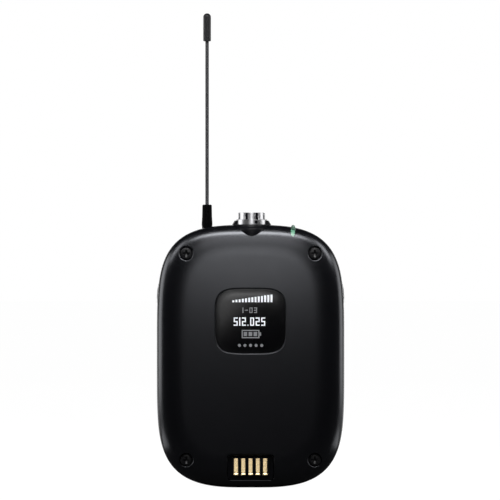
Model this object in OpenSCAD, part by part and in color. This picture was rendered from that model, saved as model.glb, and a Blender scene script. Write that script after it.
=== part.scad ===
// Wireless bodypack transmitter.
// A pillow-shaped case in two shells: display, case screws and charging
// contacts in front, a hinged battery door with a wire belt clip behind, and a
// four-pin connector, whip antenna, status light and slide switch on top.
// Frame in mm: +Z up along the antenna, front faces -Y, origin on the base.

/* [Body] */
// Width across the body
body_w = 68; // [67:0.5:71]
// Height of the body without connector and antenna
body_h = 95.2; // [94.4:0.2:97]
// Depth of the body without the belt clip
body_d = 25.5; // [25:0.5:28]
// Depth of the front cover from its face to the seam
front_depth = 8.15; // [7.9:0.05:8.4]
// How square the outline is at the two sides
side_power = 3.13; // [2.9:0.01:3.5]
// How square the outline is at the top and the base
end_power = 4.73; // [4.4:0.01:5.2]
// Width of the rounded border round each face
edge_w = 12; // [11:0.5:13]
// Depth that the border falls away in front
front_edge = 6.5; // [6:0.1:6.8]
// Depth that the border falls away behind
back_edge = 7; // [6.5:0.1:8]
// How square the border's section is
edge_power = 2.6; // [2.4:0.05:2.8]
// Side wall of both shells
wall = 1.8; // [1.6:0.1:2]
// Thickness of the front face
face_t = 2; // [1.8:0.1:2.2]
// Height trimmed off the base to leave a flat foot
base_trim = 0.12; // [0.1:0.02:0.2]
// Thickness of the seal between the shells
seal_t = 0.5; // [0.4:0.1:0.7]
// Setback of the seal from the outside
seal_inset = 0.4; // [0.3:0.1:0.6]
// Width of the seal
seal_w = 1.1; // [0.9:0.1:1.2]

/* [Display] */
// Width of the window's recess
display_w = 25.5; // [24:0.5:28]
// Height of the window's recess
display_h = 23.4; // [22:0.2:26]
// How square the window's corners are
display_power = 4.2; // [3.6:0.1:5]
// Height of the window's middle above the base
display_z = 60.4; // [59:0.2:61]
// Thickness of the clear window
window_t = 0.75; // [0.6:0.05:0.8]
// Depth of the window's surface below the face
window_sink = 0.5; // [0.3:0.1:0.6]
// Width of the viewing opening
view_w = 19.6; // [18:0.2:20]
// Height of the viewing opening
view_h = 14.6; // [13:0.2:16]
// Width of the display panel
panel_w = 24; // [22:0.5:25]
// Height of the display panel
panel_h = 19.5; // [18:0.5:20]
// Thickness of the display panel
panel_t = 1.4; // [1.2:0.1:1.6]

/* [Charging contacts] */
// Number of contacts
contact_n = 5; // [3:1:5]
// Spacing of the contacts
contact_pitch = 2.63; // [2.5:0.01:2.9]
// Width of a contact
contact_w = 1.75; // [1.4:0.05:1.9]
// Height of a contact
contact_h = 6.2; // [5:0.1:6.6]
// Height of a contact's middle above the base
contact_z = 7.7; // [7.5:0.1:7.8]
// Width of the contact window
contact_window_w = 16.6; // [16:0.2:18]
// Height of the contact window
contact_window_h = 8.8; // [8.6:0.1:9]
// Height of the contact window's middle above the base
contact_window_z = 7.5; // [7.5:0.1:7.7]
// Depth of the contact block's face below the front face
contact_sink = 1.4; // [1.2:0.1:1.6]

/* [Case screws] */
// Distance of the screws in from the sides
screw_in = 10.8; // [10.5:0.1:11.1]
// Height of the lower screws
screw_low_z = 10.2; // [9.8:0.1:10.8]
// Distance of the upper screws below the top
screw_drop = 10.4; // [10:0.1:10.8]
// Diameter of a screw's shank
screw_d = 2.2; // [2:0.1:2.4]
// Diameter of a screw's head
screw_head_d = 4.2; // [3.8:0.1:4.6]
// Height of a screw's head
screw_head_t = 1.4; // [1.2:0.1:1.6]
// Diameter of the recess round a head
screw_recess_d = 5.2; // [4.8:0.1:5.4]
// Depth of the recess below the front face
screw_recess = 2.55; // [2.4:0.05:2.7]
// Diameter of the bosses
boss_d = 6.4; // [6.2:0.1:6.6]
// Diameter of the threaded inserts
insert_d = 3.6; // [3.2:0.1:4]
// Length of the threaded inserts
insert_l = 4.2; // [3.5:0.1:5]

/* [Connector] */
// Distance of the connector from the middle
connector_x = 0.4; // [0:0.1:0.8]
// Diameter of the black collar
collar_d = 14.2; // [13.6:0.1:14.6]
// Height of the collar's raised sides above the body
collar_rise = 1.5; // [1.2:0.1:1.8]
// Diameter of the nut's flange
nut_flange_d = 11.3; // [11:0.1:11.6]
// Height of the nut's flange
nut_flange_h = 1.9; // [1.6:0.1:2.2]
// Diameter of the notched part of the nut
nut_d = 9.8; // [9.5:0.1:10.2]
// Height of the notched part of the nut
nut_h = 2.5; // [2:0.1:3]
// Number of notches
notch_n = 8; // [6:1:10]
// Diameter of the socket's barrel
barrel_d = 8.5; // [8.3:0.1:8.7]
// Wall of the socket's barrel
barrel_t = 0.5; // [0.4:0.05:0.6]
// Depth of the socket from its rim to the insert
socket_depth = 8.4; // [7.5:0.1:9]
// Depth of the pin tips below the rim
pin_sink = 2.4; // [2.2:0.1:3]
// Diameter of a pin
pin_d = 1; // [0.8:0.1:1.2]
// Diameter of the circle of pins
pin_circle_d = 3.9; // [3.6:0.1:4.2]

/* [Antenna] */
// Distance of the antenna from the middle
antenna_x = -15.86; // [-16.4:0.02:-15]
// Diameter of the boot where it leaves the body
boot_d = 3.7; // [3.4:0.1:4]
// Diameter of the boot's upper end
boot_top_d = 2.95; // [2.6:0.05:3.2]
// Height of the boot's upper end above the body
boot_rise = 7.4; // [5:0.2:10]
// Diameter of the whip
whip_d = 1.26; // [1:0.02:1.5]
// Height of the lower end of the tip above the body
whip_rise = 67; // [45:0.5:85]
// Diameter of the tip
tip_d = 2.8; // [2.4:0.1:3.2]
// Length of the tip
tip_l = 10.2; // [8:0.2:14]

/* [Status light] */
// Distance of the light pipe from the middle
light_x = 15.4; // [15:0.1:15.8]
// Depth of the light pipe's axis behind the front face
light_back = 3.75; // [3.6:0.05:3.9]
// Diameter of the light pipe
light_d = 2.2; // [1.8:0.1:2.4]
// Distance of the light pipe's top below the top of the body
light_drop = 0.1; // [0:0.1:0.4]

/* [Power switch] */
// Distance of the switch from the middle
switch_x = 14.3; // [14.1:0.1:14.4]
// Distance of the switch behind the middle of the body
switch_y = 3; // [2.5:0.1:3.4]
// Travel of the slider
switch_travel = 3.6; // [3:0.1:3.8]
// Length of the slider
slider_l = 4.6; // [4.2:0.1:4.8]
// Width of the slider
slider_w = 5.2; // [4.6:0.1:5.4]
// Length of the pocket
switch_pocket_l = 9.6; // [9.4:0.1:9.8]
// Width of the pocket
switch_pocket_w = 6; // [5.8:0.1:6.4]
// Depth of the pocket's floor below the top of the body
switch_pocket_drop = 4.2; // [4:0.1:4.4]

/* [Battery door] */
// Width of the door
door_w = 49.8; // [49:0.2:50.4]
// Distance of the door's top edge below the top of the body
door_drop = 19.3; // [18.8:0.1:19.6]
// Thickness of the door
door_t = 2.4; // [2.2:0.1:2.6]
// Corner radius of the door
door_corner = 4; // [3:0.5:5]
// Height of the hinge axis above the base
hinge_z = 9.5; // [9.2:0.1:9.7]
// Radius of the hinge knuckles
hinge_r = 2.6; // [2.5:0.05:2.7]
// Diameter of the hinge pin
hinge_pin_d = 1.5; // [1.3:0.1:1.6]
// Length of the hinge pin
hinge_pin_l = 44; // [42:0.5:46]
// Width of the door's knuckle
knuckle_w = 35.8; // [35:0.2:36.4]

/* [Belt clip] */
// Diameter of the clip's wire
wire_d = 2.4; // [2:0.1:2.6]
// Distance between the clip's two legs
clip_w = 30; // [30:0.5:33]
// Distance of the clip's pivot below the door's top edge
clip_drop = 9.5; // [8.9:0.1:10.1]
// Distance of the clip's pivot behind the door
clip_out = 3.6; // [3.4:0.1:3.9]
// Tilt of the legs below the pivot
clip_tilt = 15; // [13:1:17]
// Length of the legs below the tilted part
clip_leg = 24; // [20:0.5:25]
// Angle at which the legs turn in
clip_turn = 32; // [28:1:36]
// Width of the bracket
bracket_w = 22; // [20:0.5:23]
// Height of the bracket
bracket_h = 10.4; // [10:0.2:11]
// Depth of the bracket behind the door
bracket_d = 6.1; // [6:0.1:6.5]
// Distance between the bracket's screws
bracket_screw_gap = 13; // [11:0.5:14]
// Diameter of the bracket's screws
bracket_screw_d = 2; // [1.8:0.1:2.2]

/* [Latches] */
// Distance of the latches' middle below the door's top edge
latch_drop = 5.7; // [5.5:0.1:6.1]
// Height of a latch's tab
tab_h = 7; // [6.4:0.1:7.2]
// Depth of a latch's tab
tab_d = 8; // [7:0.2:8.4]
// How far a tab stands proud of the side
tab_proud = 0.25; // [0.1:0.05:0.4]
// Height of the latch arm
latch_arm_h = 3.6; // [3:0.1:4]

/* [Controls] */
// Distance between the two buttons
button_gap = 12; // [11:0.5:14]
// Diameter of a button
button_d = 5; // [4.5:0.1:5.4]
// Travel of a button
button_travel = 0.5; // [0.3:0.05:0.6]
// Width of the controls' recess
panel_recess_w = 26; // [25:0.5:27]
// Depth of the controls' recess below the deck
panel_recess = 2.6; // [2.4:0.1:2.8]
// Width of the infrared window
ir_w = 4.9; // [4.5:0.1:5.3]
// Height of the infrared window
ir_h = 2.9; // [2.5:0.1:3.3]

/* [Battery] */
// Width of the battery pack
battery_w = 33.4; // [32:0.2:33.6]
// Room between the battery's well and the controls' recess
well_gap = 2.1; // [2:0.1:3]
// Room above the battery pack in its well
battery_room = 0.5; // [0.4:0.1:2]
// Thickness of the battery pack
battery_t = 12.7; // [12:0.1:12.8]
// Corner radius of the battery pack
battery_corner = 3; // [2:0.5:5]
// Number of battery contacts
battery_contact_n = 4; // [3:1:4]

/* [Circuit boards] */
// Width of the main board
board_w = 52; // [48:0.5:53]
// Height of the main board's lower edge above the base
board_low_z = 14.5; // [14:0.1:15]
// Distance of the main board's upper edge below the top of the body
board_drop = 17.2; // [16.4:0.2:19]
// Distance of the board's screws from the middle
board_screw_x = 15.8; // [15:0.1:16.4]
// Height of the board's lower screws above the base
board_screw_low_z = 18; // [17.6:0.1:18.4]
// Distance of the board's upper screws below the top of the battery's well
board_screw_drop = 3; // [2:0.2:5]
// Diameter of the board's screws
board_screw_d = 1.7; // [1.5:0.1:1.8]
// Thickness of the main board
board_t = 1; // [0.8:0.1:1.2]
// Depth of the main board behind the front face
board_back = 4.35; // [4.25:0.05:4.5]
// Width of the shield can
shield_w = 24; // [20:0.5:26]
// Height of the shield can
shield_h = 28; // [24:0.5:32]
// Depth of the shield can
shield_t = 2.2; // [1.8:0.1:2.4]
// Height of the shield can's middle above the base
shield_z = 40; // [38:0.5:42]

/* [Clearances] */
// Round pieces that stay still
fit = 0.05; // [0.03:0.01:0.08]
// Pins that turn in their bores
run = 0.05; // [0.03:0.01:0.08]
// Pieces set into openings
set_gap = 0.1; // [0.05:0.05:0.15]
// Moving pieces and what they pass
move_gap = 0.35; // [0.3:0.05:0.4]
// Under the closed door
door_gap = 0.15; // [0.1:0.05:0.25]

/* [Hidden] */
$fn = 48;
outline_steps = 18;
edge_steps = 7;
over = 0.1;

half_w = body_w / 2;
half_h = (body_h + base_trim) / 2;
mid_z = half_h - base_trim;
front_y = -body_d / 2;
back_y = body_d / 2;
seam_y = front_y + front_depth;
rear_y = seam_y + seal_t;
inner_y = front_y + face_t;

window_seat_y = front_y + window_sink + window_t;
board_y = front_y + board_back;
board_back_y = board_y + board_t;
board_high_z = body_h - board_drop;
board_corner = 2;
board_post_d = 3.8;
board_head_d = 3.2;
board_head_t = 1;
tongue_in = 5.4;
tongue_w = 9.4;
shield_sheet = 0.3;
screw_x = half_w - screw_in;
screw_high_z = body_h - screw_drop;
screw_seat_y = front_y + screw_recess;
screw_slot_l = 2.8;
screw_slot_w = 0.7;
screw_slot_t = 0.9;
contact_face_y = front_y + contact_sink;
contact_t = 0.5;
contact_proud = 0.25;

door_top = body_h - door_drop;
deck_t = 1.2;
door_in_y = back_y - door_t;
deck_y = door_in_y - door_gap;
back_t = door_t + door_gap + deck_t / 2;
hinge_y = back_y - hinge_r;
plate_z = hinge_z + hinge_r + 0.6;
chin_z = hinge_z - hinge_r - move_gap;
trough_y = hinge_y - hinge_r - move_gap;
lug_x = knuckle_w / 2 + 0.2;

floor_t = 1.2;
well_t = 1.2;
well_w = battery_w + 0.6;
well_z0 = plate_z + 0.2 + well_t;
battery_contact_t = 0.4;
battery_z0 = well_z0 + battery_contact_t;
battery_y0 = rear_y + floor_t;

latch_z = door_top - latch_drop;
controls_z = latch_z + 0.6;
controls_h = 7.4;
well_z1 = controls_z - controls_h / 2 - well_gap;
battery_h = well_z1 - battery_room - battery_z0;
board_screw_high_z = well_z1 - board_screw_drop;
pan_y = deck_y - panel_recess;
pan_t = 1.2;
control_board_t = 1;
control_board_w = panel_recess_w - 1;
control_board_h = controls_h - 0.4;
tact_w = 4.4;
tact_body_h = 1.2;
tact_plunger_d = 2.2;
tact_h = 1.8;
flange_t = 1;
flange_y1 = pan_y - pan_t - 0.4;
button_room = 0.3;
control_board_y1 = flange_y1 - flange_t - button_travel - button_room - tact_h;

top_z = body_h;
nut_z = top_z;
rim_z = nut_z + nut_flange_h + nut_h - 0.2;
collar_drop = 4.2;
collar_z0 = top_z - collar_drop;
collar_lip_z = top_z + 0.1;
barrel_flange_t = 1.4;
insert_top_z = rim_z - socket_depth;
barrel_z0 = insert_top_z - 6;
collar_flange_d = collar_d + 2.4;
collar_flange_t = 2;
collar_flange_front = 2.4;
collar_flange_back = 8.4;
collar_taper = 1.7;
collar_lip_front = 2.6;
barrel_flange_front = barrel_d / 2 + 0.15;

boot_z0 = top_z - 4.7;
boot_neck = 1;
tip_z = top_z + whip_rise;
antenna_base_d = 6;
antenna_base_h = 5;
light_y = front_y + light_back;
light_top = top_z - light_drop;
light_z0 = top_z - 7.9;

pocket_z = top_z - switch_pocket_drop;
pan_floor_t = 1.8;
slider_h = 1.9;
stem_l = 2;
stem_w = 1.4;
stem_drop = 1.6;
groove_pitch = 1.2;
groove_w = 0.6;
groove_t = 0.5;
switch_body_l = 9.2;
switch_body_w = 5.6;
switch_body_h = 4.4;
slider_x0 = switch_x + switch_travel / 2;

latch_y = 2.6;
latch_flange_x = half_w - 4.1;
arm_y0 = latch_y - 1.2;
arm_y1 = latch_y + 0.8;
ear_in = 1.1;
ear_x = door_w / 2 - ear_in;
ear_t = 1.2;
ear_h = 5.6;
ear_tip_y = arm_y1 + 1.2;
barb_x = ear_x - ear_t - 0.8;
riser_x = barb_x - 1;

clip_y = back_y + clip_out;
clip_z = door_top - clip_drop;
clip_stop_t = 0.7;
clip_stop_rise = 0.5;
clip_pin_x = 2;
clip_neck = 4.5;
clip_reach = 3.2;
clip_toe = 1.5;
leg_x = clip_w / 2;
clip_stop_x = bracket_w / 2 + move_gap;
bend_r = 3;
ease_r = 6;
pinch_r = 5;
loop_r = 4;
bracket_z0 = clip_z - 6.8;
bracket_round = 2;
bracket_screw_z = clip_z - 4.2;
bracket_head_d = 3.8;
bracket_head_t = 1.1;
bracket_head_y0 = back_y + bracket_d - bracket_head_t - 0.3;
bracket_slot_l = 2.2;
bracket_slot_w = 0.5;
bracket_slot_t = 0.6;
relief_w = door_w - 9.8;
relief_h = 36;
relief_z = 38;
relief_t = 0.7;
relief_corner = 3;

function quarter(u, p, q) =
  let (a = pow(u, q / 2), b = pow(1 - u, p / 2), t = 90 * a / (a + b))
  [pow(cos(t), 2 / p), pow(sin(t), 2 / q)];

function loop_points(a, b, p, q, n) = [
  for (k = [0 : 4 * n - 1])
    let (s = floor(k / n), u = (k - s * n) / n, c = quarter(s % 2 == 0 ? u : 1 - u, p, q))
    [(s == 0 || s == 3 ? a : -a) * c[0], (s < 2 ? b : -b) * c[1]]
];

function body_loop(inset) =
  loop_points(half_w - inset, half_h - inset, side_power, end_power, outline_steps);

// Solid from y = 0 to y = length, rounded towards its far face
module pillow(inset, length, border, edge) {
  n = 4 * outline_steps;
  rings = concat(
    [[inset, 0]],
    [for (i = [0 : edge_steps])
      let (c = quarter(i / edge_steps, edge_power, edge_power))
      [inset + border * (1 - c[0]), length - edge * (1 - c[1])]]
  );
  last = len(rings) - 1;
  points = [for (r = rings) for (p = body_loop(r[0])) [p[0], r[1], p[1] + mid_z]];
  sides = [
    for (r = [0 : last - 1]) for (k = [0 : n - 1]) for (f = [0, 1])
      let (m = (k + 1) % n)
      f == 0
        ? [r * n + k, r * n + m, (r + 1) * n + k]
        : [r * n + m, (r + 1) * n + m, (r + 1) * n + k]
  ];
  start = [for (k = [n - 1 : -1 : 0]) k];
  end = [for (k = [0 : n - 1]) last * n + k];
  polyhedron(points, concat(sides, [start, end]));
}

module front_solid() {
  translate([0, seam_y, 0]) mirror([0, 1, 0])
    pillow(0, front_depth, edge_w, front_edge);
}

module front_cavity() {
  translate([0, seam_y + over, 0]) mirror([0, 1, 0])
    pillow(wall, front_depth - face_t + over, edge_w - wall, front_edge - face_t);
}

module rear_solid(proud = 0) {
  translate([0, rear_y, 0])
    pillow(-proud, back_y - rear_y, edge_w, back_edge);
}

module rear_cavity() {
  translate([0, rear_y - over, 0])
    pillow(wall, back_y - rear_y - back_t + over, edge_w - wall, back_edge - back_t);
}

module under_base() {
  translate([-half_w, front_y, -5]) cube([body_w, body_d, 5]);
}

// Box given by its two corners
module span(a, b) {
  translate(a) cube([b[0] - a[0], b[1] - a[1], b[2] - a[2]]);
}

// Round bar along Y between two depths
module bar_y(x, z, r, y0, y1) {
  translate([x, y1, z]) rotate([90, 0, 0]) cylinder(r = r, h = y1 - y0);
}

// Round bar along X between two places
module bar_x(y, z, r, x0, x1) {
  translate([x0, y, z]) rotate([0, 90, 0]) cylinder(r = r, h = x1 - x0);
}

module rounded(w, h, r) {
  square([w - 2 * r, h], center = true);
  square([w, h - 2 * r], center = true);
  for (sx = [-1, 1]) for (sz = [-1, 1])
    translate([sx * (w / 2 - r), sz * (h / 2 - r)]) circle(r = r);
}

// Profile drawn in X and Z, raised along Y between two depths
module raised(y0, y1) {
  translate([0, y1, 0]) rotate([90, 0, 0]) linear_extrude(height = y1 - y0) children();
}

module at_screws() {
  for (sx = [-1, 1]) for (z = [screw_low_z, screw_high_z])
    translate([sx * screw_x, 0, z]) children();
}

module at_board_screws() {
  for (sx = [-1, 1]) for (z = [board_screw_low_z, board_screw_high_z])
    translate([sx * board_screw_x, 0, z]) children();
}

module at_bracket_screws() {
  for (sx = [-1, 1]) translate([sx * bracket_screw_gap / 2, 0, bracket_screw_z]) children();
}

module both_sides() {
  children();
  mirror([1, 0, 0]) children();
}

module display_shape(gap) {
  translate([0, display_z])
    polygon(loop_points(display_w / 2 - gap, display_h / 2 - gap, display_power, display_power, 12));
}

module collar_space() {
  translate([connector_x, seam_y, collar_z0 - over])
    cylinder(d = collar_d + 2 * fit, h = 12);
}

module front_cover() {
  color([0.09, 0.09, 0.1]) difference() {
    union() {
      difference() {
        front_solid();
        front_cavity();
      }
      at_screws() bar_y(0, 0, boss_d / 2, inner_y - 0.15, seam_y);
    }
    at_screws() bar_y(0, 0, screw_recess_d / 2, front_y - 1, screw_seat_y);
    at_screws() bar_y(0, 0, screw_d / 2 + 0.2, screw_seat_y - over, seam_y + over);
    raised(front_y - 1, window_seat_y) display_shape(0);
    raised(window_seat_y - over, inner_y + over)
      translate([0, display_z]) square([view_w, view_h], center = true);
    raised(front_y - 1, inner_y + 3)
      translate([0, contact_window_z]) rounded(contact_window_w, contact_window_h, 1.2);
    collar_space();
    translate([light_x, light_y, light_z0]) cylinder(d = light_d + 2 * fit, h = 12);
    under_base();
  }
}

module hinge_trough() {
  span([-lug_x - 1.4, trough_y - 1.2, chin_z - 1.2], [lug_x + 1.4, deck_y, plate_z + 0.6]);
}

module battery_tub() {
  span(
    [-well_w / 2 - well_t, rear_y, well_z0 - well_t],
    [well_w / 2 + well_t, deck_y, well_z1 + well_t]
  );
}

module controls_pan() {
  span(
    [-panel_recess_w / 2 - 1.2, pan_y - pan_t, controls_z - controls_h / 2 - 1.2],
    [panel_recess_w / 2 + 1.2, deck_y, controls_z + controls_h / 2 + 1.2]
  );
  for (sx = [-1, 1]) bar_y(sx * 11, controls_z, 1, control_board_y1, pan_y);
}

module switch_pan() {
  span(
    [switch_x - switch_pocket_l / 2 - 0.6, switch_y - switch_pocket_w / 2 - 1, pocket_z - pan_floor_t],
    [switch_x + switch_pocket_l / 2 + 0.6, switch_y + switch_pocket_w / 2 + 1, top_z + 1]
  );
}

module latch_window(gap) {
  translate([0, 0, latch_z]) rotate([90, 0, 90]) linear_extrude(height = half_w + 5)
    translate([latch_y, 0]) rounded(tab_d + 2 * gap, tab_h + 2 * gap, 1.2 + gap);
}

module rear_frame() {
  difference() {
    rear_solid();
    rear_cavity();
  }
  intersection() {
    rear_solid();
    union() {
      span([-half_w, deck_y - deck_t, -1], [half_w, deck_y, door_top + 1.5]);
      battery_tub();
      hinge_trough();
      controls_pan();
      switch_pan();
      translate([antenna_x, 0, boot_z0 - 2.5]) cylinder(d = antenna_base_d + 2.4, h = 12);
    }
  }
  at_screws() bar_y(0, 0, boss_d / 2, seam_y, deck_y - deck_t / 2);
  at_board_screws() bar_y(0, 0, board_post_d / 2, board_back_y, rear_y + over);
}

module rear_housing() {
  color([0.1, 0.1, 0.11]) difference() {
    union() {
      difference() {
        rear_frame();
        raised(deck_y, back_y + 5) translate([0, (plate_z + door_top) / 2])
          rounded(door_w + 0.5, door_top - plate_z + 0.5, door_corner);
        span([-door_w / 2 - 0.25, deck_y, chin_z], [door_w / 2 + 0.25, back_y + 5, plate_z + door_corner]);
        span([-lug_x, trough_y, chin_z], [lug_x, back_y + 5, plate_z + 0.2]);
        span([-well_w / 2, rear_y + floor_t, well_z0], [well_w / 2, back_y + 5, well_z1]);
        span(
          [-panel_recess_w / 2, pan_y, controls_z - controls_h / 2],
          [panel_recess_w / 2, back_y + 5, controls_z + controls_h / 2]
        );
        both_sides() span(
          [ear_x - ear_t - 1.3, deck_y - deck_t - over, latch_z - 3.6],
          [ear_x + 0.5, deck_y + over, latch_z + 3.9]
        );
        both_sides() translate([20, 0, 0]) latch_window(move_gap);
        at_screws() bar_y(0, 0, insert_d / 2, seam_y - over, seam_y + insert_l + 1);
        collar_space();
      }
      intersection() {
        rear_solid();
        both_sides() bar_x(hinge_y, hinge_z, hinge_r, lug_x, door_w / 2 + 0.5);
      }
    }
    bar_x(hinge_y, hinge_z, hinge_pin_d / 2 + 0.02, -hinge_pin_l / 2 - 0.2, hinge_pin_l / 2 + 0.2);
    for (sx = [-1, 1])
      bar_y(sx * button_gap / 2, controls_z, button_d / 2 + set_gap, pan_y - pan_t - over, pan_y + over);
    raised(pan_y - pan_t - over, pan_y + over) translate([0, controls_z])
      square([ir_w + 2 * fit, ir_h + 2 * fit], center = true);
    translate([antenna_x, 0, boot_z0 - 5]) cylinder(d = boot_d + 2 * fit, h = 14);
    translate([antenna_x, 0, boot_z0 - 5]) cylinder(d = antenna_base_d + 2 * fit, h = 5);
    span(
      [switch_x - switch_pocket_l / 2, switch_y - switch_pocket_w / 2, pocket_z],
      [switch_x + switch_pocket_l / 2, switch_y + switch_pocket_w / 2, top_z + 2]
    );
    span(
      [switch_x - switch_travel / 2 - stem_l / 2 - 0.4, switch_y - stem_w / 2 - 0.2, pocket_z - 4],
      [switch_x + switch_travel / 2 + stem_l / 2 + 0.4, switch_y + stem_w / 2 + 0.2, pocket_z + over]
    );
    at_board_screws() bar_y(0, 0, board_screw_d / 2 + fit, board_back_y - over, rear_y + 0.6);
    switch_space(set_gap);
    under_base();
  }
}

module case_seal() {
  color([0.05, 0.05, 0.05]) difference() {
    raised(seam_y, rear_y) translate([0, mid_z]) difference() {
      polygon(body_loop(seal_inset));
      polygon(body_loop(seal_inset + seal_w));
    }
    collar_space();
  }
}

module case_screws() {
  color([0.12, 0.12, 0.13]) at_screws() difference() {
    union() {
      bar_y(0, 0, screw_head_d / 2, screw_seat_y - screw_head_t, screw_seat_y);
      bar_y(0, 0, screw_d / 2, screw_seat_y, seam_y + insert_l - 0.4);
    }
    for (a = [0, 90]) rotate([0, a, 0])
      span(
        [-screw_slot_l / 2, screw_seat_y - screw_head_t - 1, -screw_slot_w / 2],
        [screw_slot_l / 2, screw_seat_y - screw_head_t + screw_slot_t, screw_slot_w / 2]
      );
  }
}

module threaded_inserts() {
  color([0.72, 0.56, 0.26]) at_screws() difference() {
    bar_y(0, 0, insert_d / 2 - 0.02, seam_y, seam_y + insert_l);
    bar_y(0, 0, screw_d / 2 + 0.03, seam_y - over, seam_y + insert_l + over);
  }
}

module display_window() {
  color([0.03, 0.03, 0.04]) raised(window_seat_y - window_t, window_seat_y) display_shape(set_gap);
}

module display_panel() {
  color([0.02, 0.02, 0.03]) raised(inner_y, inner_y + panel_t)
    translate([0, display_z]) square([panel_w, panel_h], center = true);
}

module display_pad() {
  color([0.2, 0.2, 0.22]) raised(inner_y + panel_t, board_y)
    translate([0, display_z]) rounded(panel_w - 4, panel_h - 4, 1.5);
}

module at_contacts() {
  for (i = [0 : contact_n - 1])
    translate([(i - (contact_n - 1) / 2) * contact_pitch, 0, contact_z]) children();
}

module contact_block() {
  color([0.04, 0.04, 0.05]) difference() {
    raised(contact_face_y, rear_y) translate([0, contact_window_z])
      rounded(contact_window_w - 2 * set_gap, contact_window_h - 2 * set_gap, 1.1);
    at_contacts() span(
      [-contact_w / 2 - 0.02, contact_face_y - 1, -contact_h / 2 - 0.02],
      [contact_w / 2 + 0.02, contact_face_y + contact_t, contact_h / 2 + 0.02]
    );
  }
}

module charging_contacts() {
  color([0.83, 0.66, 0.28]) at_contacts() {
    span(
      [-contact_w / 2, contact_face_y - contact_proud, -contact_h / 2 + 0.7],
      [contact_w / 2, contact_face_y + contact_t, contact_h / 2]
    );
    intersection() {
      bar_x(contact_face_y - contact_proud + 0.7, -contact_h / 2 + 0.7, 0.7, -contact_w / 2, contact_w / 2);
      span([-2, contact_face_y - 1, -contact_h / 2], [2, contact_face_y + contact_t, -contact_h / 2 + 0.7]);
    }
  }
}

module main_board() {
  color([0.08, 0.3, 0.16]) difference() {
    raised(board_y, board_back_y) {
      translate([0, (board_low_z + board_high_z) / 2])
        rounded(board_w, board_high_z - board_low_z, board_corner);
      translate([light_x - tongue_in, board_high_z - 1])
        square([tongue_w, light_z0 - board_high_z + 1]);
    }
    at_board_screws() bar_y(0, 0, board_screw_d / 2 + fit, board_y - over, board_back_y + over);
  }
}

module board_screws() {
  color([0.6, 0.6, 0.62]) at_board_screws() {
    bar_y(0, 0, board_head_d / 2, board_y - board_head_t, board_y);
    bar_y(0, 0, board_screw_d / 2, board_y, rear_y + 0.4);
  }
}

module shield_can() {
  color([0.7, 0.71, 0.72]) difference() {
    raised(board_back_y, board_back_y + shield_t) translate([0, shield_z]) rounded(shield_w, shield_h, 1);
    raised(board_back_y - over, board_back_y + shield_t - shield_sheet) translate([0, shield_z])
      rounded(shield_w - 2 * shield_sheet, shield_h - 2 * shield_sheet, 0.8);
  }
}

module connector_collar() {
  color([0.05, 0.05, 0.06]) translate([connector_x, seam_y, 0]) difference() {
    union() {
      translate([0, 0, collar_z0]) cylinder(d = collar_d, h = top_z - collar_z0);
      translate([0, 0, top_z]) cylinder(d1 = collar_d, d2 = collar_d - collar_taper, h = collar_rise);
      intersection() {
        translate([0, 0, collar_z0]) cylinder(d = collar_flange_d, h = collar_flange_t);
        span(
          [-collar_d, -collar_flange_front, collar_z0],
          [collar_d, collar_flange_back, collar_z0 + collar_flange_t]
        );
      }
    }
    translate([0, 0, collar_z0 - over]) cylinder(d = barrel_d + 2 * fit, h = 12);
    translate([0, 0, nut_z]) cylinder(d = nut_flange_d + 2 * set_gap, h = 5);
    span([-collar_d, -collar_d, collar_lip_z], [collar_d, -collar_lip_front, top_z + 5]);
  }
}

module connector_barrel() {
  color([0.8, 0.8, 0.82]) translate([connector_x, seam_y, 0]) difference() {
    union() {
      translate([0, 0, barrel_z0]) cylinder(d = barrel_d, h = rim_z - barrel_z0);
      intersection() {
        translate([0, 0, collar_z0 - barrel_flange_t]) cylinder(d = barrel_d + 3, h = barrel_flange_t);
        span(
          [-barrel_d, -barrel_flange_front, collar_z0 - barrel_flange_t],
          [barrel_d, barrel_d, collar_z0]
        );
      }
    }
    translate([0, 0, barrel_z0 - over]) cylinder(d = barrel_d - 2 * barrel_t, h = 30);
  }
}

module connector_nut() {
  color([0.82, 0.82, 0.84]) translate([connector_x, seam_y, nut_z]) difference() {
    union() {
      cylinder(d = nut_flange_d, h = nut_flange_h);
      cylinder(d = nut_d, h = nut_flange_h + nut_h);
    }
    translate([0, 0, -over]) cylinder(d = barrel_d + 2 * fit, h = 12);
    for (i = [0 : notch_n - 1]) rotate([0, 0, (i + 0.5) * 360 / notch_n])
      span([nut_d / 2 - 0.45, -0.55, nut_flange_h], [nut_d / 2 + 1, 0.55, nut_flange_h + nut_h + 1]);
  }
}

module connector_insert() {
  color([0.04, 0.04, 0.04]) translate([connector_x, seam_y, barrel_z0]) difference() {
    cylinder(d = barrel_d - 2 * barrel_t - 0.04, h = insert_top_z - barrel_z0);
    for (i = [0 : 3]) rotate([0, 0, 45 + 90 * i]) translate([pin_circle_d / 2, 0, -over])
      cylinder(d = pin_d + 0.04, h = 20);
  }
}

module connector_pins() {
  color([0.85, 0.7, 0.35]) translate([connector_x, seam_y, barrel_z0 - 1.8])
    for (i = [0 : 3]) rotate([0, 0, 45 + 90 * i]) translate([pin_circle_d / 2, 0, 0]) {
      cylinder(d = pin_d, h = rim_z - pin_sink - pin_d / 2 - barrel_z0 + 1.8);
      translate([0, 0, rim_z - pin_sink - pin_d / 2 - barrel_z0 + 1.8]) sphere(d = pin_d);
    }
}

module antenna_base() {
  color([0.75, 0.6, 0.3]) translate([antenna_x, 0, boot_z0 - antenna_base_h]) difference() {
    cylinder(d = antenna_base_d, h = antenna_base_h);
    translate([0, 0, 2]) cylinder(d = whip_d + 2 * fit, h = 10);
  }
}

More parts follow.
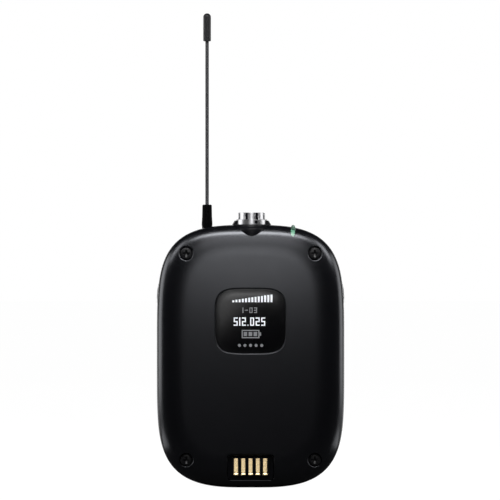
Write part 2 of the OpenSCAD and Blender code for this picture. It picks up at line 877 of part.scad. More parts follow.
module antenna_boot() {
  color([0.04, 0.04, 0.04]) translate([antenna_x, 0, 0]) difference() {
    union() {
      translate([0, 0, boot_z0]) cylinder(d = boot_d, h = top_z - boot_z0 + boot_neck);
      translate([0, 0, top_z + boot_neck])
        cylinder(d1 = boot_d, d2 = boot_top_d, h = boot_rise - boot_neck);
    }
    translate([0, 0, boot_z0 - over]) cylinder(d = whip_d + 2 * fit, h = 40);
  }
}

module antenna_whip() {
  color([0.2, 0.2, 0.21]) translate([antenna_x, 0, boot_z0 - antenna_base_h + 2])
    cylinder(d = whip_d, h = tip_z + tip_l * 0.6 - boot_z0 + antenna_base_h - 2);
}

module antenna_tip() {
  color([0.06, 0.06, 0.06]) translate([antenna_x, 0, tip_z]) difference() {
    union() {
      cylinder(d = tip_d, h = tip_l - tip_d / 2);
      translate([0, 0, tip_l - tip_d / 2]) sphere(d = tip_d);
    }
    translate([0, 0, -over]) cylinder(d = whip_d + 2 * fit, h = tip_l * 0.6 + over);
  }
}

module light_pipe() {
  color([0.35, 0.75, 0.5]) translate([light_x, light_y, 0]) {
    translate([0, 0, light_z0]) cylinder(d = light_d, h = light_top - light_d / 2 - light_z0);
    translate([0, 0, light_top - light_d / 2]) sphere(d = light_d);
  }
}

module light_source() {
  color([0.8, 0.9, 0.8]) span(
    [light_x - 0.9, board_y - 1.4, light_z0 - 1.8],
    [light_x + 0.9, board_y, light_z0]
  );
}

module switch_space(gap) {
  l = switch_body_l / 2 + gap;
  w = switch_body_w / 2 + gap;
  top = pocket_z - pan_floor_t;
  span([switch_x - l, switch_y - w, top - switch_body_h - gap], [switch_x + l, switch_y + w, top]);
}

module switch_body() {
  color([0.3, 0.3, 0.32]) difference() {
    switch_space(0);
    span(
      [
        switch_x - switch_travel / 2 - stem_l / 2 - 0.4, switch_y - stem_w / 2 - 0.2,
        pocket_z - pan_floor_t - stem_drop - 0.4
      ],
      [switch_x + switch_travel / 2 + stem_l / 2 + 0.4, switch_y + stem_w / 2 + 0.2, pocket_z]
    );
  }
}

module switch_slider() {
  color([0.16, 0.16, 0.17]) {
    difference() {
      span(
        [slider_x0 - slider_l / 2, switch_y - slider_w / 2, pocket_z + 0.1],
        [slider_x0 + slider_l / 2, switch_y + slider_w / 2, pocket_z + slider_h]
      );
      for (i = [-1 : 1])
        translate([slider_x0 + i * groove_pitch, switch_y, pocket_z + slider_h]) span(
          [-groove_w / 2, -slider_w, -groove_t],
          [groove_w / 2, slider_w, 1]
        );
    }
    span(
      [slider_x0 - stem_l / 2, switch_y - stem_w / 2, pocket_z - pan_floor_t - stem_drop],
      [slider_x0 + stem_l / 2, switch_y + stem_w / 2, pocket_z + 0.1]
    );
  }
}

module control_board() {
  color([0.08, 0.3, 0.16]) raised(control_board_y1 - control_board_t, control_board_y1)
    translate([0, controls_z]) square([control_board_w, control_board_h], center = true);
}

module tact_switches() {
  color([0.75, 0.76, 0.78]) for (sx = [-1, 1]) {
    raised(control_board_y1, control_board_y1 + tact_body_h)
      translate([sx * button_gap / 2, controls_z]) square([tact_w, tact_w], center = true);
    bar_y(
      sx * button_gap / 2, controls_z, tact_plunger_d / 2,
      control_board_y1 + tact_body_h, control_board_y1 + tact_h
    );
  }
}

module button(x) {
  color([0.25, 0.25, 0.26]) {
    bar_y(x, controls_z, button_d / 2, flange_y1, pan_y + 1.7);
    bar_y(x, controls_z, button_d / 2 + 0.6, flange_y1 - flange_t, flange_y1);
  }
}

module left_button() {
  button(-button_gap / 2);
}

module right_button() {
  button(button_gap / 2);
}

module infrared_window() {
  color([0.2, 0.02, 0.03]) raised(pan_y - pan_t, pan_y + 0.3)
    translate([0, controls_z]) square([ir_w, ir_h], center = true);
}

module battery_pack() {
  color([0.13, 0.13, 0.14]) translate([0, 0, battery_z0]) linear_extrude(height = battery_h)
    translate([0, battery_y0 + battery_t / 2]) rounded(battery_w, battery_t, battery_corner);
}

module battery_contacts() {
  color([0.83, 0.66, 0.28]) for (i = [0 : battery_contact_n - 1])
    translate([(i - (battery_contact_n - 1) / 2) * 4, 0, 0])
      span([-0.9, battery_y0 + 2, well_z0], [0.9, battery_y0 + 8, battery_z0]);
}

module hinge_pin() {
  color([0.7, 0.7, 0.72]) bar_x(hinge_y, hinge_z, hinge_pin_d / 2, -hinge_pin_l / 2, hinge_pin_l / 2);
}

module battery_door() {
  color([0.1, 0.1, 0.11]) difference() {
    union() {
      intersection() {
        rear_solid();
        union() {
          raised(door_in_y, back_y + 1) translate([0, (plate_z + door_top) / 2])
            rounded(door_w, door_top - plate_z, door_corner - 0.25);
          span([-door_w / 2, door_in_y, plate_z], [door_w / 2, back_y + 1, plate_z + door_corner]);
          span([-knuckle_w / 2, door_in_y, hinge_z], [knuckle_w / 2, back_y + 1, plate_z + 1]);
        }
      }
      bar_x(hinge_y, hinge_z, hinge_r, -knuckle_w / 2, knuckle_w / 2);
      both_sides() {
        span(
          [ear_x - ear_t, ear_tip_y, latch_z - ear_h / 2],
          [ear_x, door_in_y + 0.3, latch_z + ear_h / 2]
        );
        span(
          [barb_x, ear_tip_y, latch_z - ear_h / 2],
          [ear_x - ear_t, ear_tip_y + ear_t, latch_z + ear_h / 2]
        );
      }
    }
    bar_x(hinge_y, hinge_z, hinge_pin_d / 2 + run, -knuckle_w, knuckle_w);
    raised(door_in_y - over, door_in_y + relief_t) translate([0, relief_z])
      rounded(relief_w, relief_h, relief_corner);
    at_bracket_screws() bar_y(0, 0, bracket_screw_d / 2 + 0.03, door_in_y + 0.4, back_y + 1);
  }
}

module clip_bracket() {
  color([0.07, 0.07, 0.08]) difference() {
    translate([-bracket_w / 2, 0, 0]) rotate([90, 0, 90]) linear_extrude(height = bracket_w)
      translate([back_y, bracket_z0]) {
        square([bracket_d - bracket_round, bracket_h]);
        translate([0, bracket_round]) square([bracket_d, bracket_h - 2 * bracket_round]);
        for (v = [bracket_round, bracket_h - bracket_round])
          translate([bracket_d - bracket_round, v]) circle(r = bracket_round);
      }
    bar_x(clip_y, clip_z, wire_d / 2 + run, -bracket_w, bracket_w);
    at_bracket_screws() {
      bar_y(0, 0, bracket_screw_d / 2 + 0.1, back_y - 1, back_y + 20);
      bar_y(0, 0, bracket_head_d / 2 + 0.2, bracket_head_y0, back_y + 20);
    }
  }
}

module bracket_screws() {
  color([0.5, 0.5, 0.52]) at_bracket_screws() difference() {
    union() {
      bar_y(0, 0, bracket_head_d / 2, bracket_head_y0, bracket_head_y0 + bracket_head_t);
      bar_y(0, 0, bracket_screw_d / 2, door_in_y + 0.5, bracket_head_y0);
    }
    for (a = [0, 90]) rotate([0, a, 0]) span(
      [-bracket_slot_l / 2, bracket_head_y0 + bracket_head_t - bracket_slot_t, -bracket_slot_w / 2],
      [bracket_slot_l / 2, bracket_head_y0 + bracket_head_t + 1, bracket_slot_w / 2]
    );
  }
}

function along(phi) = [0, sin(phi), -cos(phi)];
function inward(phi) = [0, -cos(phi), -sin(phi)];
function unit(v) = v / norm(v);

// Each step feeds straight wire and then bends it: feed, radius, angle, side
function wire_path(steps, i, p, t) =
  i == len(steps) ? [] :
  let (f = steps[i][0], r = steps[i][1], a = steps[i][2], d = steps[i][3])
  let (q = p + f * t, m = max(1, round(a / 15)))
  let (bend = [for (k = [1 : m]) q + r * (sin(a * k / m) * t + (1 - cos(a * k / m)) * d)])
  concat([q], a > 0 ? bend : [], wire_path(steps, i + 1, a > 0 ? bend[m - 1] : q, cos(a) * t + sin(a) * d));

// Round wire through a list of points that never runs along Y
module wire(path, d) {
  m = 16;
  last = len(path) - 1;
  points = [
    for (i = [0 : last]) for (k = [0 : m - 1])
      let (t = unit(unit(path[min(last, i + 1)] - path[min(last - 1, i)])
        + unit(path[max(1, i)] - path[max(0, i - 1)])))
      let (u = unit(cross(t, [0, 1, 0])), v = cross(t, u))
      path[i] + d / 2 * (cos(k * 360 / m) * u + sin(k * 360 / m) * v)
  ];
  sides = [
    for (i = [0 : last - 1]) for (k = [0 : m - 1]) for (f = [0, 1])
      let (n = (k + 1) % m)
      f == 0 ? [i * m + k, (i + 1) * m + k, i * m + n] : [i * m + n, (i + 1) * m + k, (i + 1) * m + n]
  ];
  start = [for (k = [0 : m - 1]) k];
  end = [for (k = [m - 1 : -1 : 0]) last * m + k];
  polyhedron(points, concat(sides, [start, end]));
}

module belt_clip() {
  start = [clip_stop_x + clip_stop_t / 2, clip_y, clip_z];
  right = concat([start], wire_path([
    [leg_x - bend_r - start[0], bend_r, 90, along(clip_tilt)],
    [clip_neck, ease_r, clip_tilt, inward(clip_tilt)],
    [clip_leg, ease_r, clip_turn, inward(0)],
    [clip_reach, pinch_r, 2 * clip_turn, -inward(-clip_turn)],
    [clip_toe, loop_r, 90, [-1, 0, 0]],
    [leg_x - loop_r, 0, 0, [0, 0, -1]]
  ], 0, start, [1, 0, 0]));
  n = len(right);
  left = [for (i = [n - 2 : -1 : 0]) [-right[i][0], right[i][1], right[i][2]]];
  color([0.75, 0.75, 0.77]) {
    wire(concat(right, left), wire_d);
    both_sides() {
      bar_x(clip_y, clip_z, wire_d / 2, clip_pin_x, clip_stop_x + clip_stop_t / 2);
      bar_x(clip_y, clip_z, wire_d / 2 + clip_stop_rise, clip_stop_x, clip_stop_x + clip_stop_t);
    }
  }
}

// Right-hand latch, mirrored for the left
module latch() {
  color([0.13, 0.13, 0.14]) {
    intersection() {
      rear_solid(tab_proud);
      translate([latch_flange_x + over, 0, 0]) latch_window(0);
    }
    span(
      [latch_flange_x - 1, latch_y - tab_d / 2 - 1, latch_z - tab_h / 2 - 1],
      [latch_flange_x + 0.8, latch_y + tab_d / 2 + 1, latch_z + tab_h / 2 + 0.6]
    );
    span(
      [riser_x - 1.2, arm_y0, latch_z - latch_arm_h / 2],
      [latch_flange_x, arm_y1, latch_z + latch_arm_h / 2]
    );
    span(
      [riser_x - 1.2, arm_y0, latch_z - latch_arm_h / 2],
      [riser_x, ear_tip_y + 3.2, latch_z + latch_arm_h / 2]
    );
    span(
      [riser_x - 0.1, ear_tip_y + 1.8, latch_z - latch_arm_h / 2],
      [barb_x - 0.35, ear_tip_y + 3.2, latch_z + latch_arm_h / 2]
    );
  }
}

module left_latch() {
  mirror([1, 0, 0]) latch();
}

module right_latch() {
  latch();
}

front_cover();
rear_housing();
case_seal();
case_screws();
threaded_inserts();
display_window();
display_panel();
display_pad();
contact_block();
charging_contacts();
main_board();
board_screws();
shield_can();
connector_collar();
connector_barrel();
connector_nut();
connector_insert();
connector_pins();
antenna_base();
antenna_boot();
antenna_whip();
antenna_tip();
light_pipe();
light_source();
switch_body();
switch_slider();
control_board();
tact_switches();
left_button();
right_button();
infrared_window();
battery_pack();
battery_contacts();
hinge_pin();
battery_door();
clip_bracket();
bracket_screws();
belt_clip();
left_latch();
right_latch();
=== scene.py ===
"""Looks of a wireless bodypack transmitter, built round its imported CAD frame.

Lengths are in mm, apart from the stage, whose lengths are in metres.
+Z is up along the antenna and the front faces -Y.
"""
import math
from functools import partial

import bmesh
import bpy
import numpy as np
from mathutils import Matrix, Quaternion, Vector
from mathutils.geometry import delaunay_2d_cdt

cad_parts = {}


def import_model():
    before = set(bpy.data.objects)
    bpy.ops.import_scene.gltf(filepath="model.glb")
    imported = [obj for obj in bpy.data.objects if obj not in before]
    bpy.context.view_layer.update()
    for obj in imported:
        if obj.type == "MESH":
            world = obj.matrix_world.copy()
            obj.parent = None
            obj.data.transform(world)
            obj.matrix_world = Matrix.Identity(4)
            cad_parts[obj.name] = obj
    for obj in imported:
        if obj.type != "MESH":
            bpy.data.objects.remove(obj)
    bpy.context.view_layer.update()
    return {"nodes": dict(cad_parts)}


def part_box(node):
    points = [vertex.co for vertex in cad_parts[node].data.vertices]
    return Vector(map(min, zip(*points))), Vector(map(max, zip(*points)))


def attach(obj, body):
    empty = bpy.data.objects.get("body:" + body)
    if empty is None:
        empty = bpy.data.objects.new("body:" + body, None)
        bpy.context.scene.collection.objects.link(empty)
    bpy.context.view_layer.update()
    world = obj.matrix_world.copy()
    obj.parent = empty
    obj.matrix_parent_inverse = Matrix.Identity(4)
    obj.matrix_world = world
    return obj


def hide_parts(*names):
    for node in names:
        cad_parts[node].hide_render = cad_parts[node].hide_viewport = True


MM = 0.001
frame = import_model()


def box_mm(node):
    """Lowest and highest corner of a node."""
    low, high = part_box(node)
    return np.array(low) / MM, np.array(high) / MM


def middle_mm(node):
    low, high = box_mm(node)
    return (low + high) / 2


def half_mm(node):
    """Half of a node's width and height."""
    low, high = box_mm(node)
    return (high - low)[[0, 2]] / 2


# Case: its reach comes from the frame, its roundness is the part's own
HALF_W, BACK_Y, TOP_Z = box_mm("rear_housing")[1]
FRONT_Y = box_mm("front_cover")[0][1]
SEAM_Y = box_mm("front_cover")[1][1]
BASE_TRIM = 0.12
HALF_H = (TOP_Z + BASE_TRIM) / 2
MID_Z = TOP_Z - HALF_H
SIDE_POWER = 3.13
END_POWER = 4.73
EDGE_POWER = 2.6
EDGE_W = 12.0
FRONT_EDGE = 6.5
BACK_EDGE = 7.0
TAB_PROUD = 0.25

# Search for a point's inset from the outline, and the least sizes that are divided by
INSET_OUT = 4.0
INSET_SPARE = 0.2
HALVINGS = 40
LEAST_SIZE = 1e-6
LEAST_SLOPE = 1e-9

# Meshes: how close points are joined, points of a loop and steps round an edge
DECIMALS = 4
MERGE = 1e-6
WELD_M = 1e-7
CIRCLE_POINTS = 48
LATHE_SIDES = 40
CORNER_STEPS = 6
ROUND_STEPS = 3

# Front cover: points round a quarter of the outline, and the roundings
RIM_POINTS = 72
FACE_POINTS = 56
BORDER_ROWS = 26
STRIP_INSET = 1.2
SEAM_ROUND = 0.25
LIP_STEPS = 5
LIP_MARGIN = 0.4
SCREW_LIP = 0.55
DISPLAY_LIP = 0.4
CONTACT_LIP = 0.8
SET_GAP = 0.1
DISPLAY_POWER = 4.2
DISPLAY_POINTS = 24
VIEW_HALF = (9.8, 7.3)
VIEW_CORNER = 0.6
VIEW_DEPTH = 2.0
CONTACT_CORNER = 1.2
CONTACT_DEPTH = 2.2

# Case screws, and dark washers under their heads that are painted shade in the gap round each head
SCREW_RECESS_R = 2.35
SCREW_HEAD_T = 1.4
SCREW_FLOOR_Y = box_mm("case_screws")[0][1] + SCREW_HEAD_T
HEAD_R = 2.1
HEAD_ROUND = 0.3
HEAD_DOME = 0.25
DOME_LEAN = 0.3
DOME_RING_R = 1.785
DOME_RING_POINTS = 32
SHANK_R = 0.9
CROSS_W = 0.8
CROSS_L = 2.7
CROSS_T = 1.0
CROSS_TAPER = 0.75
SEAT_GAP = 0.02
SEAT_RISE = 0.5
SEAT_DIP = 0.1
SEAT_LAP = 0.2

# Window, whose crown is built from rings at these shares of its size
LENS_CROWN = 0.12
LENS_ROUND = 0.2
LENS_RINGS = (0.85, 0.65, 0.4, 0.15)
WINDOW_Z = middle_mm("display_window")[2]

# Marks on the window: their heights are from its middle
MARK_T = 0.03
LARGE_TYPE = dict(w=1.45, h=3.0, stroke=0.42, gap=0.55)
SMALL_TYPE = dict(w=1.15, h=2.0, stroke=0.32, gap=0.5)
NUMBER_PLACE = (-6.1, -1.7)
CHANNEL_PLACE = (-2.9, 2.9)
CELL_W = 6.4
CELL_H = 3.0
CELL_Z = -6.2
CELL_STROKE = 0.4
CELL_TIP_W = 0.6
CELL_TIP_H = 1.2
CHARGE_BARS = 3
CHARGE_X = -2.5
CHARGE_PITCH = 1.8
CHARGE_W = 1.3
CHARGE_H = 1.5
SCALE_BARS = 13
SCALE_X = -6.6
SCALE_Z = 6.8
SCALE_PITCH = 1.15
SCALE_W = 0.72
SCALE_H = 0.7
SCALE_GROWTH = 0.17
DOTS = 5
DOT_Z = -8.8
DOT_PITCH = 2.0
DOT_R = 0.55
DOT_POINTS = 16

# Copies of the frame's nodes: turns are in degrees
FLAT_TURN = 0.4
SHARP_TURN = 38
SMOOTH_TURN = 50
BEVEL_STEPS = 2
SKIN_NEAR = 0.4
SKIN_FACING = 0.9
SKIN_FACET = 1.6
SKIN_SPLITS = 2
SKIN_PULLS = 3
SKIN_TURN = 32

# Ribs: sides, points that taper, what is left at a tip, and radians that the sides run under the skin
BEAD_SIDES = 6
BEAD_TAPER = 3
BEAD_TIP = 0.02
BEAD_SINK = 0.15
DOOR_RIBS = 4
DOOR_RIB_HALF = 9.0
DOOR_RIB_DROP = 4.3
DOOR_RIB_PITCH = 0.95
DOOR_RIB_W = 0.64
DOOR_RIB_RISE = 0.3
DOOR_RIB_POINTS = 19
LATCH_RIBS = 4
LATCH_RIB_UP = 1.9
LATCH_RIB_DOWN = 1.5
LATCH_RIB_IN = 2.6
LATCH_RIB_PITCH = 1.6
LATCH_RIB_W = 0.8
LATCH_RIB_RISE = 0.16
LATCH_RIB_POINTS = 13
LATCH_RIB_PULLS = 6

# Battery
GRIP_RIBS = 5
GRIP_HALF = 8.0
GRIP_DROP = 3.5
GRIP_PITCH = 1.4
GRIP_W = 0.9
GRIP_RISE = 0.22
GRIP_POINTS = 15
PANEL_MARGIN = 3.0
PANEL_CORNER = 2.0
PANEL_SINK = 0.05
PANEL_RISE = 0.2
PANEL_CHAMFER = 0.1
PANEL_BAND = 0.3

# Charging contacts and the walls between them: turns are in degrees, the nose is a share of the rounding
PADS = 5
PAD_W = 1.75
PAD_SINK = 0.2
PAD_LEAN = 5.6
PAD_CURL = 1.2
PAD_TURN = 30
PAD_ROWS = 6
PAD_ROUND = 0.35
PAD_NOSE = 0.25
PAD_EDGE = 0.2
PAD_EDGE_TURN = 60
PAD_EDGE_STEPS = 3
WALL_W = 0.42
WALL_T = 1.0
WALL_SINK = 0.3
WALL_OVER = 0.5
WALL_EDGE = 0.1

# Connector: rows of the collar's front give a height from its top and a radius; turns are in degrees
COLLAR_EDGE = 0.2
COLLAR_R = 7.1
COLLAR_WALL_R = 6.6
COLLAR_SIDE = 70
COLLAR_BLEND = 20
COLLAR_FOOT = 0.5
COLLAR_DEEPER = 1.1
COLLAR_ROWS = [(-6.8, 7.15), (-4.2, 7.31), (-3.2, 7.34), (-2.6, 6.95), (-2.1, 6.27), (0, 6.1)]
# Dark blocks on the floors of the nut's notches are painted shade
NOTCHES = 8
NOTCH_R = 4.4
NOTCH_SHADE_T = 0.2
NOTCH_W = 1.0
NOTCH_H = 2.5
NOTCH_DROP = 0.1
NOTCH_SHORT = 0.15
SET_SCREW_TURN = 17
SET_SCREW_R = 0.55
SET_SCREW_T = 0.6
SET_SCREW_SINK = 0.28
SET_SCREW_UP = 0.95
SET_SCREW_SIDES = 20

# Antenna boot: the neck and both heights up are from the top of the case; swell and waist add to a radius
BOOT_TOP_D = 3.45
BOOT_NECK = 0.6
BOOT_SWELL = 0.12
BOOT_WAIST = 0.08
BOOT_WAIST_UP = 1.2
BOOT_TAPER_UP = 3.0
BOOT_SHOULDER = 0.5
BOOT_ROUND = 0.4

# Light: rows of the pipe's tip give a share of its radius and a drop from its top
PIPE_TIP = [(1.0, 2.2), (0.85, 1.2), (0.6, 0.5), (0.35, 0.0)]
LIGHT_X = -0.1
LIGHT_DROP = 2.6
LIGHT_HALF = (0.75, 1.6)
LIGHT_RINGS = (0.97, 0.85, 0.6, 0.3, 0.08)
LIGHT_SINK = 0.1
LIGHT_PROUD = 0.01
LIGHT_DOME = 0.12
LIGHT_POINTS = 32

# Materials: the range of the noise in use, and the numbers of the mix node's sockets
NOISE_LOW = 0.3
NOISE_HIGH = 0.7
PATCH_DETAIL = 3
PATCH_SHARE = 4
GRAIN_DETAIL = 2
MIX_FACTOR = 0
NUMBER_A, NUMBER_B, NUMBER_OUT = 2, 3, 0
COLOUR_A, COLOUR_B, COLOUR_OUT = 6, 7, 2

# Stage, in metres. A white pair is the Y, on the floor or of a ray, where reflected white starts and is full
FLOOR_R = 4.0
FLOOR_POINTS = 96
FLOOR_SHADE = 0.06
FLOOR_GLOW = 0.985
FLOOR_WHITE = (0.05, 0.4)
ROOM_WHITE = (0.80, 0.97)
ROOM = 0.006
AMBIENT = 0.12
CARD_X, CARD_Y, CARD_Z = 0.22, 0.23, 0.003
STRIP_X, STRIP_Y = 0.095, -0.012

# Camera: the photograph's frame is 500 pixels wide
FRAME_PX = 500
PX_PER_MM = 2.756
PHOTO_BASE_PX = 487.1
CAMERA_AWAY = 1100.0
CAMERA_X = -0.2
SENSOR_W = 36.0
CLIP_NEAR_M = 0.05
CLIP_FAR_M = 20


# Loops and directions
def quarter(u, p, q):
    """Point of a quarter superellipse of powers p and q, at share u of the way round."""
    a = u ** (q / 2)
    b = (1 - u) ** (p / 2)
    t = math.pi / 2 * a / (a + b)
    return max(math.cos(t), 0.0) ** (2 / p), math.sin(t) ** (2 / q)


def quarter_turns(steps):
    """Angles in even steps up to a quarter turn."""
    return [math.pi / 2 * k / steps for k in range(steps + 1)]


def squircle(a, b, p, q, n):
    """Closed loop of 4 n points in X and Z, counter-clockwise from the front."""
    points = []
    for k in range(4 * n):
        side, step = divmod(k, n)
        c, s = quarter(step / n if side % 2 == 0 else 1 - step / n, p, q)
        points.append((a * c if side in (0, 3) else -a * c, b * s if side < 2 else -b * s))
    return np.array(points)


def outline(inset, n):
    """Outline of the case, moved inwards."""
    return squircle(HALF_W - inset, HALF_H - inset, SIDE_POWER, END_POWER, n) + (0, MID_Z)


def round_rect(half_w, half_h, r):
    """Closed loop of a rectangle with round corners, counter-clockwise from the front."""
    points = []
    for k, (sx, sz) in enumerate([(1, 1), (-1, 1), (-1, -1), (1, -1)]):
        for i in range(CORNER_STEPS + 1):
            turn = math.pi / 2 * (k + i / CORNER_STEPS)
            points.append((sx * (half_w - r) + r * math.cos(turn), sz * (half_h - r) + r * math.sin(turn)))
    return np.array(points)


def circle(x, z, r, n=CIRCLE_POINTS):
    turns = np.arange(n) * 2 * math.pi / n
    return np.column_stack([x + r * np.cos(turns), z + r * np.sin(turns)])


def lift(loop, y):
    """Points of a loop in X and Z at depth y."""
    return np.column_stack([loop[:, 0], np.broadcast_to(y, len(loop)), loop[:, 1]])


def unit(v):
    return v / np.linalg.norm(v, axis=-1, keepdims=True)


def left_of(loop):
    """Directions to the left along a loop: inwards where it is counter-clockwise."""
    along = np.roll(loop, -1, 0) - np.roll(loop, 1, 0)
    return unit(np.column_stack([-along[:, 1], np.zeros(len(loop)), along[:, 0]]))


def holds(loop, points):
    """Which points lie inside a closed loop."""
    x, z = points.T
    inside = np.zeros(len(points), bool)
    for (x0, z0), (x1, z1) in zip(loop, np.roll(loop, -1, 0)):
        crosses = (z0 > z) != (z1 > z)
        at = x0 + (z - z0) * (x1 - x0) / (z1 - z0 if z1 != z0 else 1.0)
        inside ^= crosses & (x < at)
    return inside


def fill(loops, spare):
    """Triangles inside the first loop and outside the others, through the spare points."""
    coords = np.vstack(loops + [spare])
    edges = []
    for loop in loops:
        start = len(edges)
        edges += [(start + i, start + (i + 1) % len(loop)) for i in range(len(loop))]
    found = delaunay_2d_cdt([Vector(c) for c in coords], edges, [], 0, MERGE, True)
    triangles = np.array([[found[3][i][0] for i in face] for face in found[2]])
    centres = coords[triangles].mean(1)
    keep = holds(loops[0], centres)
    for loop in loops[1:]:
        keep &= ~holds(loop, centres)
    return coords, triangles[keep]


class Pillow:
    """Outer skin of one shell: a squircle outline that rolls over to a flat face."""

    def __init__(self, face_y, edge, facing, grow=0.0):
        self.face_y = face_y
        self.edge = edge
        self.facing = facing
        self.grow = grow

    def inset(self, x, z):
        """How far points lie inside the outline, found by halving."""
        x = np.abs(x)
        z = np.abs(z - MID_Z)
        low = np.full(x.shape, -INSET_OUT)
        high = np.full(x.shape, HALF_W - INSET_SPARE)
        for _ in range(HALVINGS):
            d = (low + high) / 2
            inside = (x / (HALF_W - d)) ** SIDE_POWER + (z / (HALF_H - d)) ** END_POWER < 1
            low = np.where(inside, d, low)
            high = np.where(inside, high, d)
        return (low + high) / 2

    def depth(self, loop):
        """Y of the skin at points in X and Z."""
        s = np.clip(1 - (self.inset(loop[:, 0], loop[:, 1]) + self.grow) / EDGE_W, 0, 1)
        fall = self.edge * (1 - (1 - s**EDGE_POWER) ** (1 / EDGE_POWER))
        return self.face_y - self.facing * fall

    def field(self, points):
        """How far each point lies outside the skin, and the way out."""
        x, y, z = points.T
        d = self.inset(x, z)
        a = HALF_W - d
        b = HALF_H - d
        ax = np.abs(x) / a
        az = np.abs(z - MID_Z) / b
        gx = SIDE_POWER * ax ** (SIDE_POWER - 1) / a * np.sign(x)
        gz = END_POWER * az ** (END_POWER - 1) / b * np.sign(z - MID_Z)
        gd = np.maximum(SIDE_POWER * ax**SIDE_POWER / a + END_POWER * az**END_POWER / b, LEAST_SLOPE)
        s = np.maximum(1 - (d + self.grow) / EDGE_W, 0)
        c = np.maximum(1 - self.facing * (self.face_y - y) / self.edge, 0)
        size = np.maximum((s**EDGE_POWER + c**EDGE_POWER) ** (1 / EDGE_POWER), LEAST_SIZE)
        ws = (s / size) ** (EDGE_POWER - 1) / EDGE_W
        wc = (c / size) ** (EDGE_POWER - 1) / self.edge
        grad = np.column_stack([ws * gx / gd, self.facing * wc, ws * gz / gd])
        length = np.maximum(np.linalg.norm(grad, axis=1), LEAST_SLOPE)
        return (size - 1) / length, grad / length[:, None]


FRONT_SKIN = Pillow(FRONT_Y, FRONT_EDGE, -1)
BACK_SKIN = Pillow(BACK_Y, BACK_EDGE, 1)
TAB_SKIN = Pillow(BACK_Y, BACK_EDGE, 1, TAB_PROUD)


# Meshes
def link(name, data):
    obj = bpy.data.objects.new(name, data)
    bpy.context.scene.collection.objects.link(obj)
    return obj


def to_object(net, name):
    """Object of a finished bmesh."""
    mesh = bpy.data.meshes.new(name)
    net.to_mesh(mesh)
    net.free()
    if "custom_normal" in mesh.attributes:
        mesh.attributes.remove(mesh.attributes["custom_normal"])
    mesh.materials.clear()
    return link(name, mesh)


def smooth_object(net, name, keep_sharp=False):
    """Object with smooth, even shading between its sharp edges."""
    obj = to_object(net, name)
    obj.data.shade_smooth()
    obj.data.set_sharp_from_angle(angle=math.radians(SMOOTH_TURN))
    obj.modifiers.new("even", "WEIGHTED_NORMAL").keep_sharp = keep_sharp
    return obj


class Shell:
    """Faces with a normal at every corner. Corners at one place share a vertex."""

    def __init__(self):
        self.points = []
        self.places = {}
        self.faces = []
        self.normals = []

    def face(self, points, normals):
        ids = []
        kept = []
        for point, normal in zip(points, normals):
            corner = tuple(round(float(c), DECIMALS) for c in point)
            i = self.places.setdefault(corner, len(self.points))
            if i == len(self.points):
                self.points.append(corner)
            if i not in ids:
                ids.append(i)
                kept.append(normal)
        if len(ids) > 2:
            self.faces.append(ids)
            self.normals += kept

    def flat(self, points):
        """Face with its own plain normal."""
        points = np.array(points)
        normal = unit(np.cross(points[1] - points[0], points[2] - points[0]))
        self.cap(points, normal)

    def cap(self, loop, normal):
        self.face(loop, [normal] * len(loop))

    def strip(self, rows):
        """Faces between closed loops with their normals, each one inside or in front of the last."""
        for (p, m), (q, n) in zip(rows, rows[1:]):
            for i in range(len(p)):
                j = (i + 1) % len(p)
                self.face([p[i], p[j], q[j], q[i]], [m[i], m[j], n[j], n[i]])

    def solid(self, rows, out):
        """Strip that is closed at both ends; out is the way that its last end faces."""
        self.strip(rows)
        self.cap(rows[-1][0], out)
        self.cap(rows[0][0][::-1], -np.array(out))

    def build(self, name):
        mesh = bpy.data.meshes.new(name)
        mesh.from_pydata([Vector(p) * MM for p in self.points], [], self.faces, shade_flat=False)
        mesh.normals_split_custom_set([tuple(n) for n in self.normals])
        return link(name, mesh)


class Recess:
    """Opening in the front face with a rounded lip and straight walls."""

    def __init__(self, loop, lip, floor_y):
        self.loop = loop
        self.lip = lip
        self.floor_y = floor_y

    def cut(self, shell):
        """Adds the lip and walls, and returns the loop of the floor."""
        rows = []
        for turn in quarter_turns(LIP_STEPS):
            loop = self.loop(self.lip * (1 - math.sin(turn)))
            y = FRONT_SKIN.depth(loop)
            out = FRONT_SKIN.field(lift(loop, y))[1]
            normals = unit(math.cos(turn) * out + math.sin(turn) * left_of(loop))
            rows.append((lift(loop, y + self.lip * (1 - math.cos(turn))), normals))
        foot = self.loop(0)
        rows.append((lift(foot, self.floor_y), left_of(foot)))
        shell.strip(rows)
        return foot


def lathe(name, middle, profile):
    """Turned piece on an upright axis; the profile gives radius and height, from the base up."""
    profile = np.array(profile)
    along = np.gradient(profile, axis=0)
    tilt = unit(np.column_stack([along[:, 1], -along[:, 0]]))
    turns = np.arange(LATHE_SIDES) * 2 * math.pi / LATHE_SIDES
    ring = np.column_stack([np.cos(turns), np.sin(turns), np.zeros(LATHE_SIDES)])
    up = np.array([0, 0, 1])
    shell = Shell()
    rows = [np.array([middle[0], middle[1], z]) + r * ring for r, z in profile]
    shell.solid([(row, r * ring + z * up) for row, (r, z) in zip(rows, tilt)], up)
    return shell.build(name)


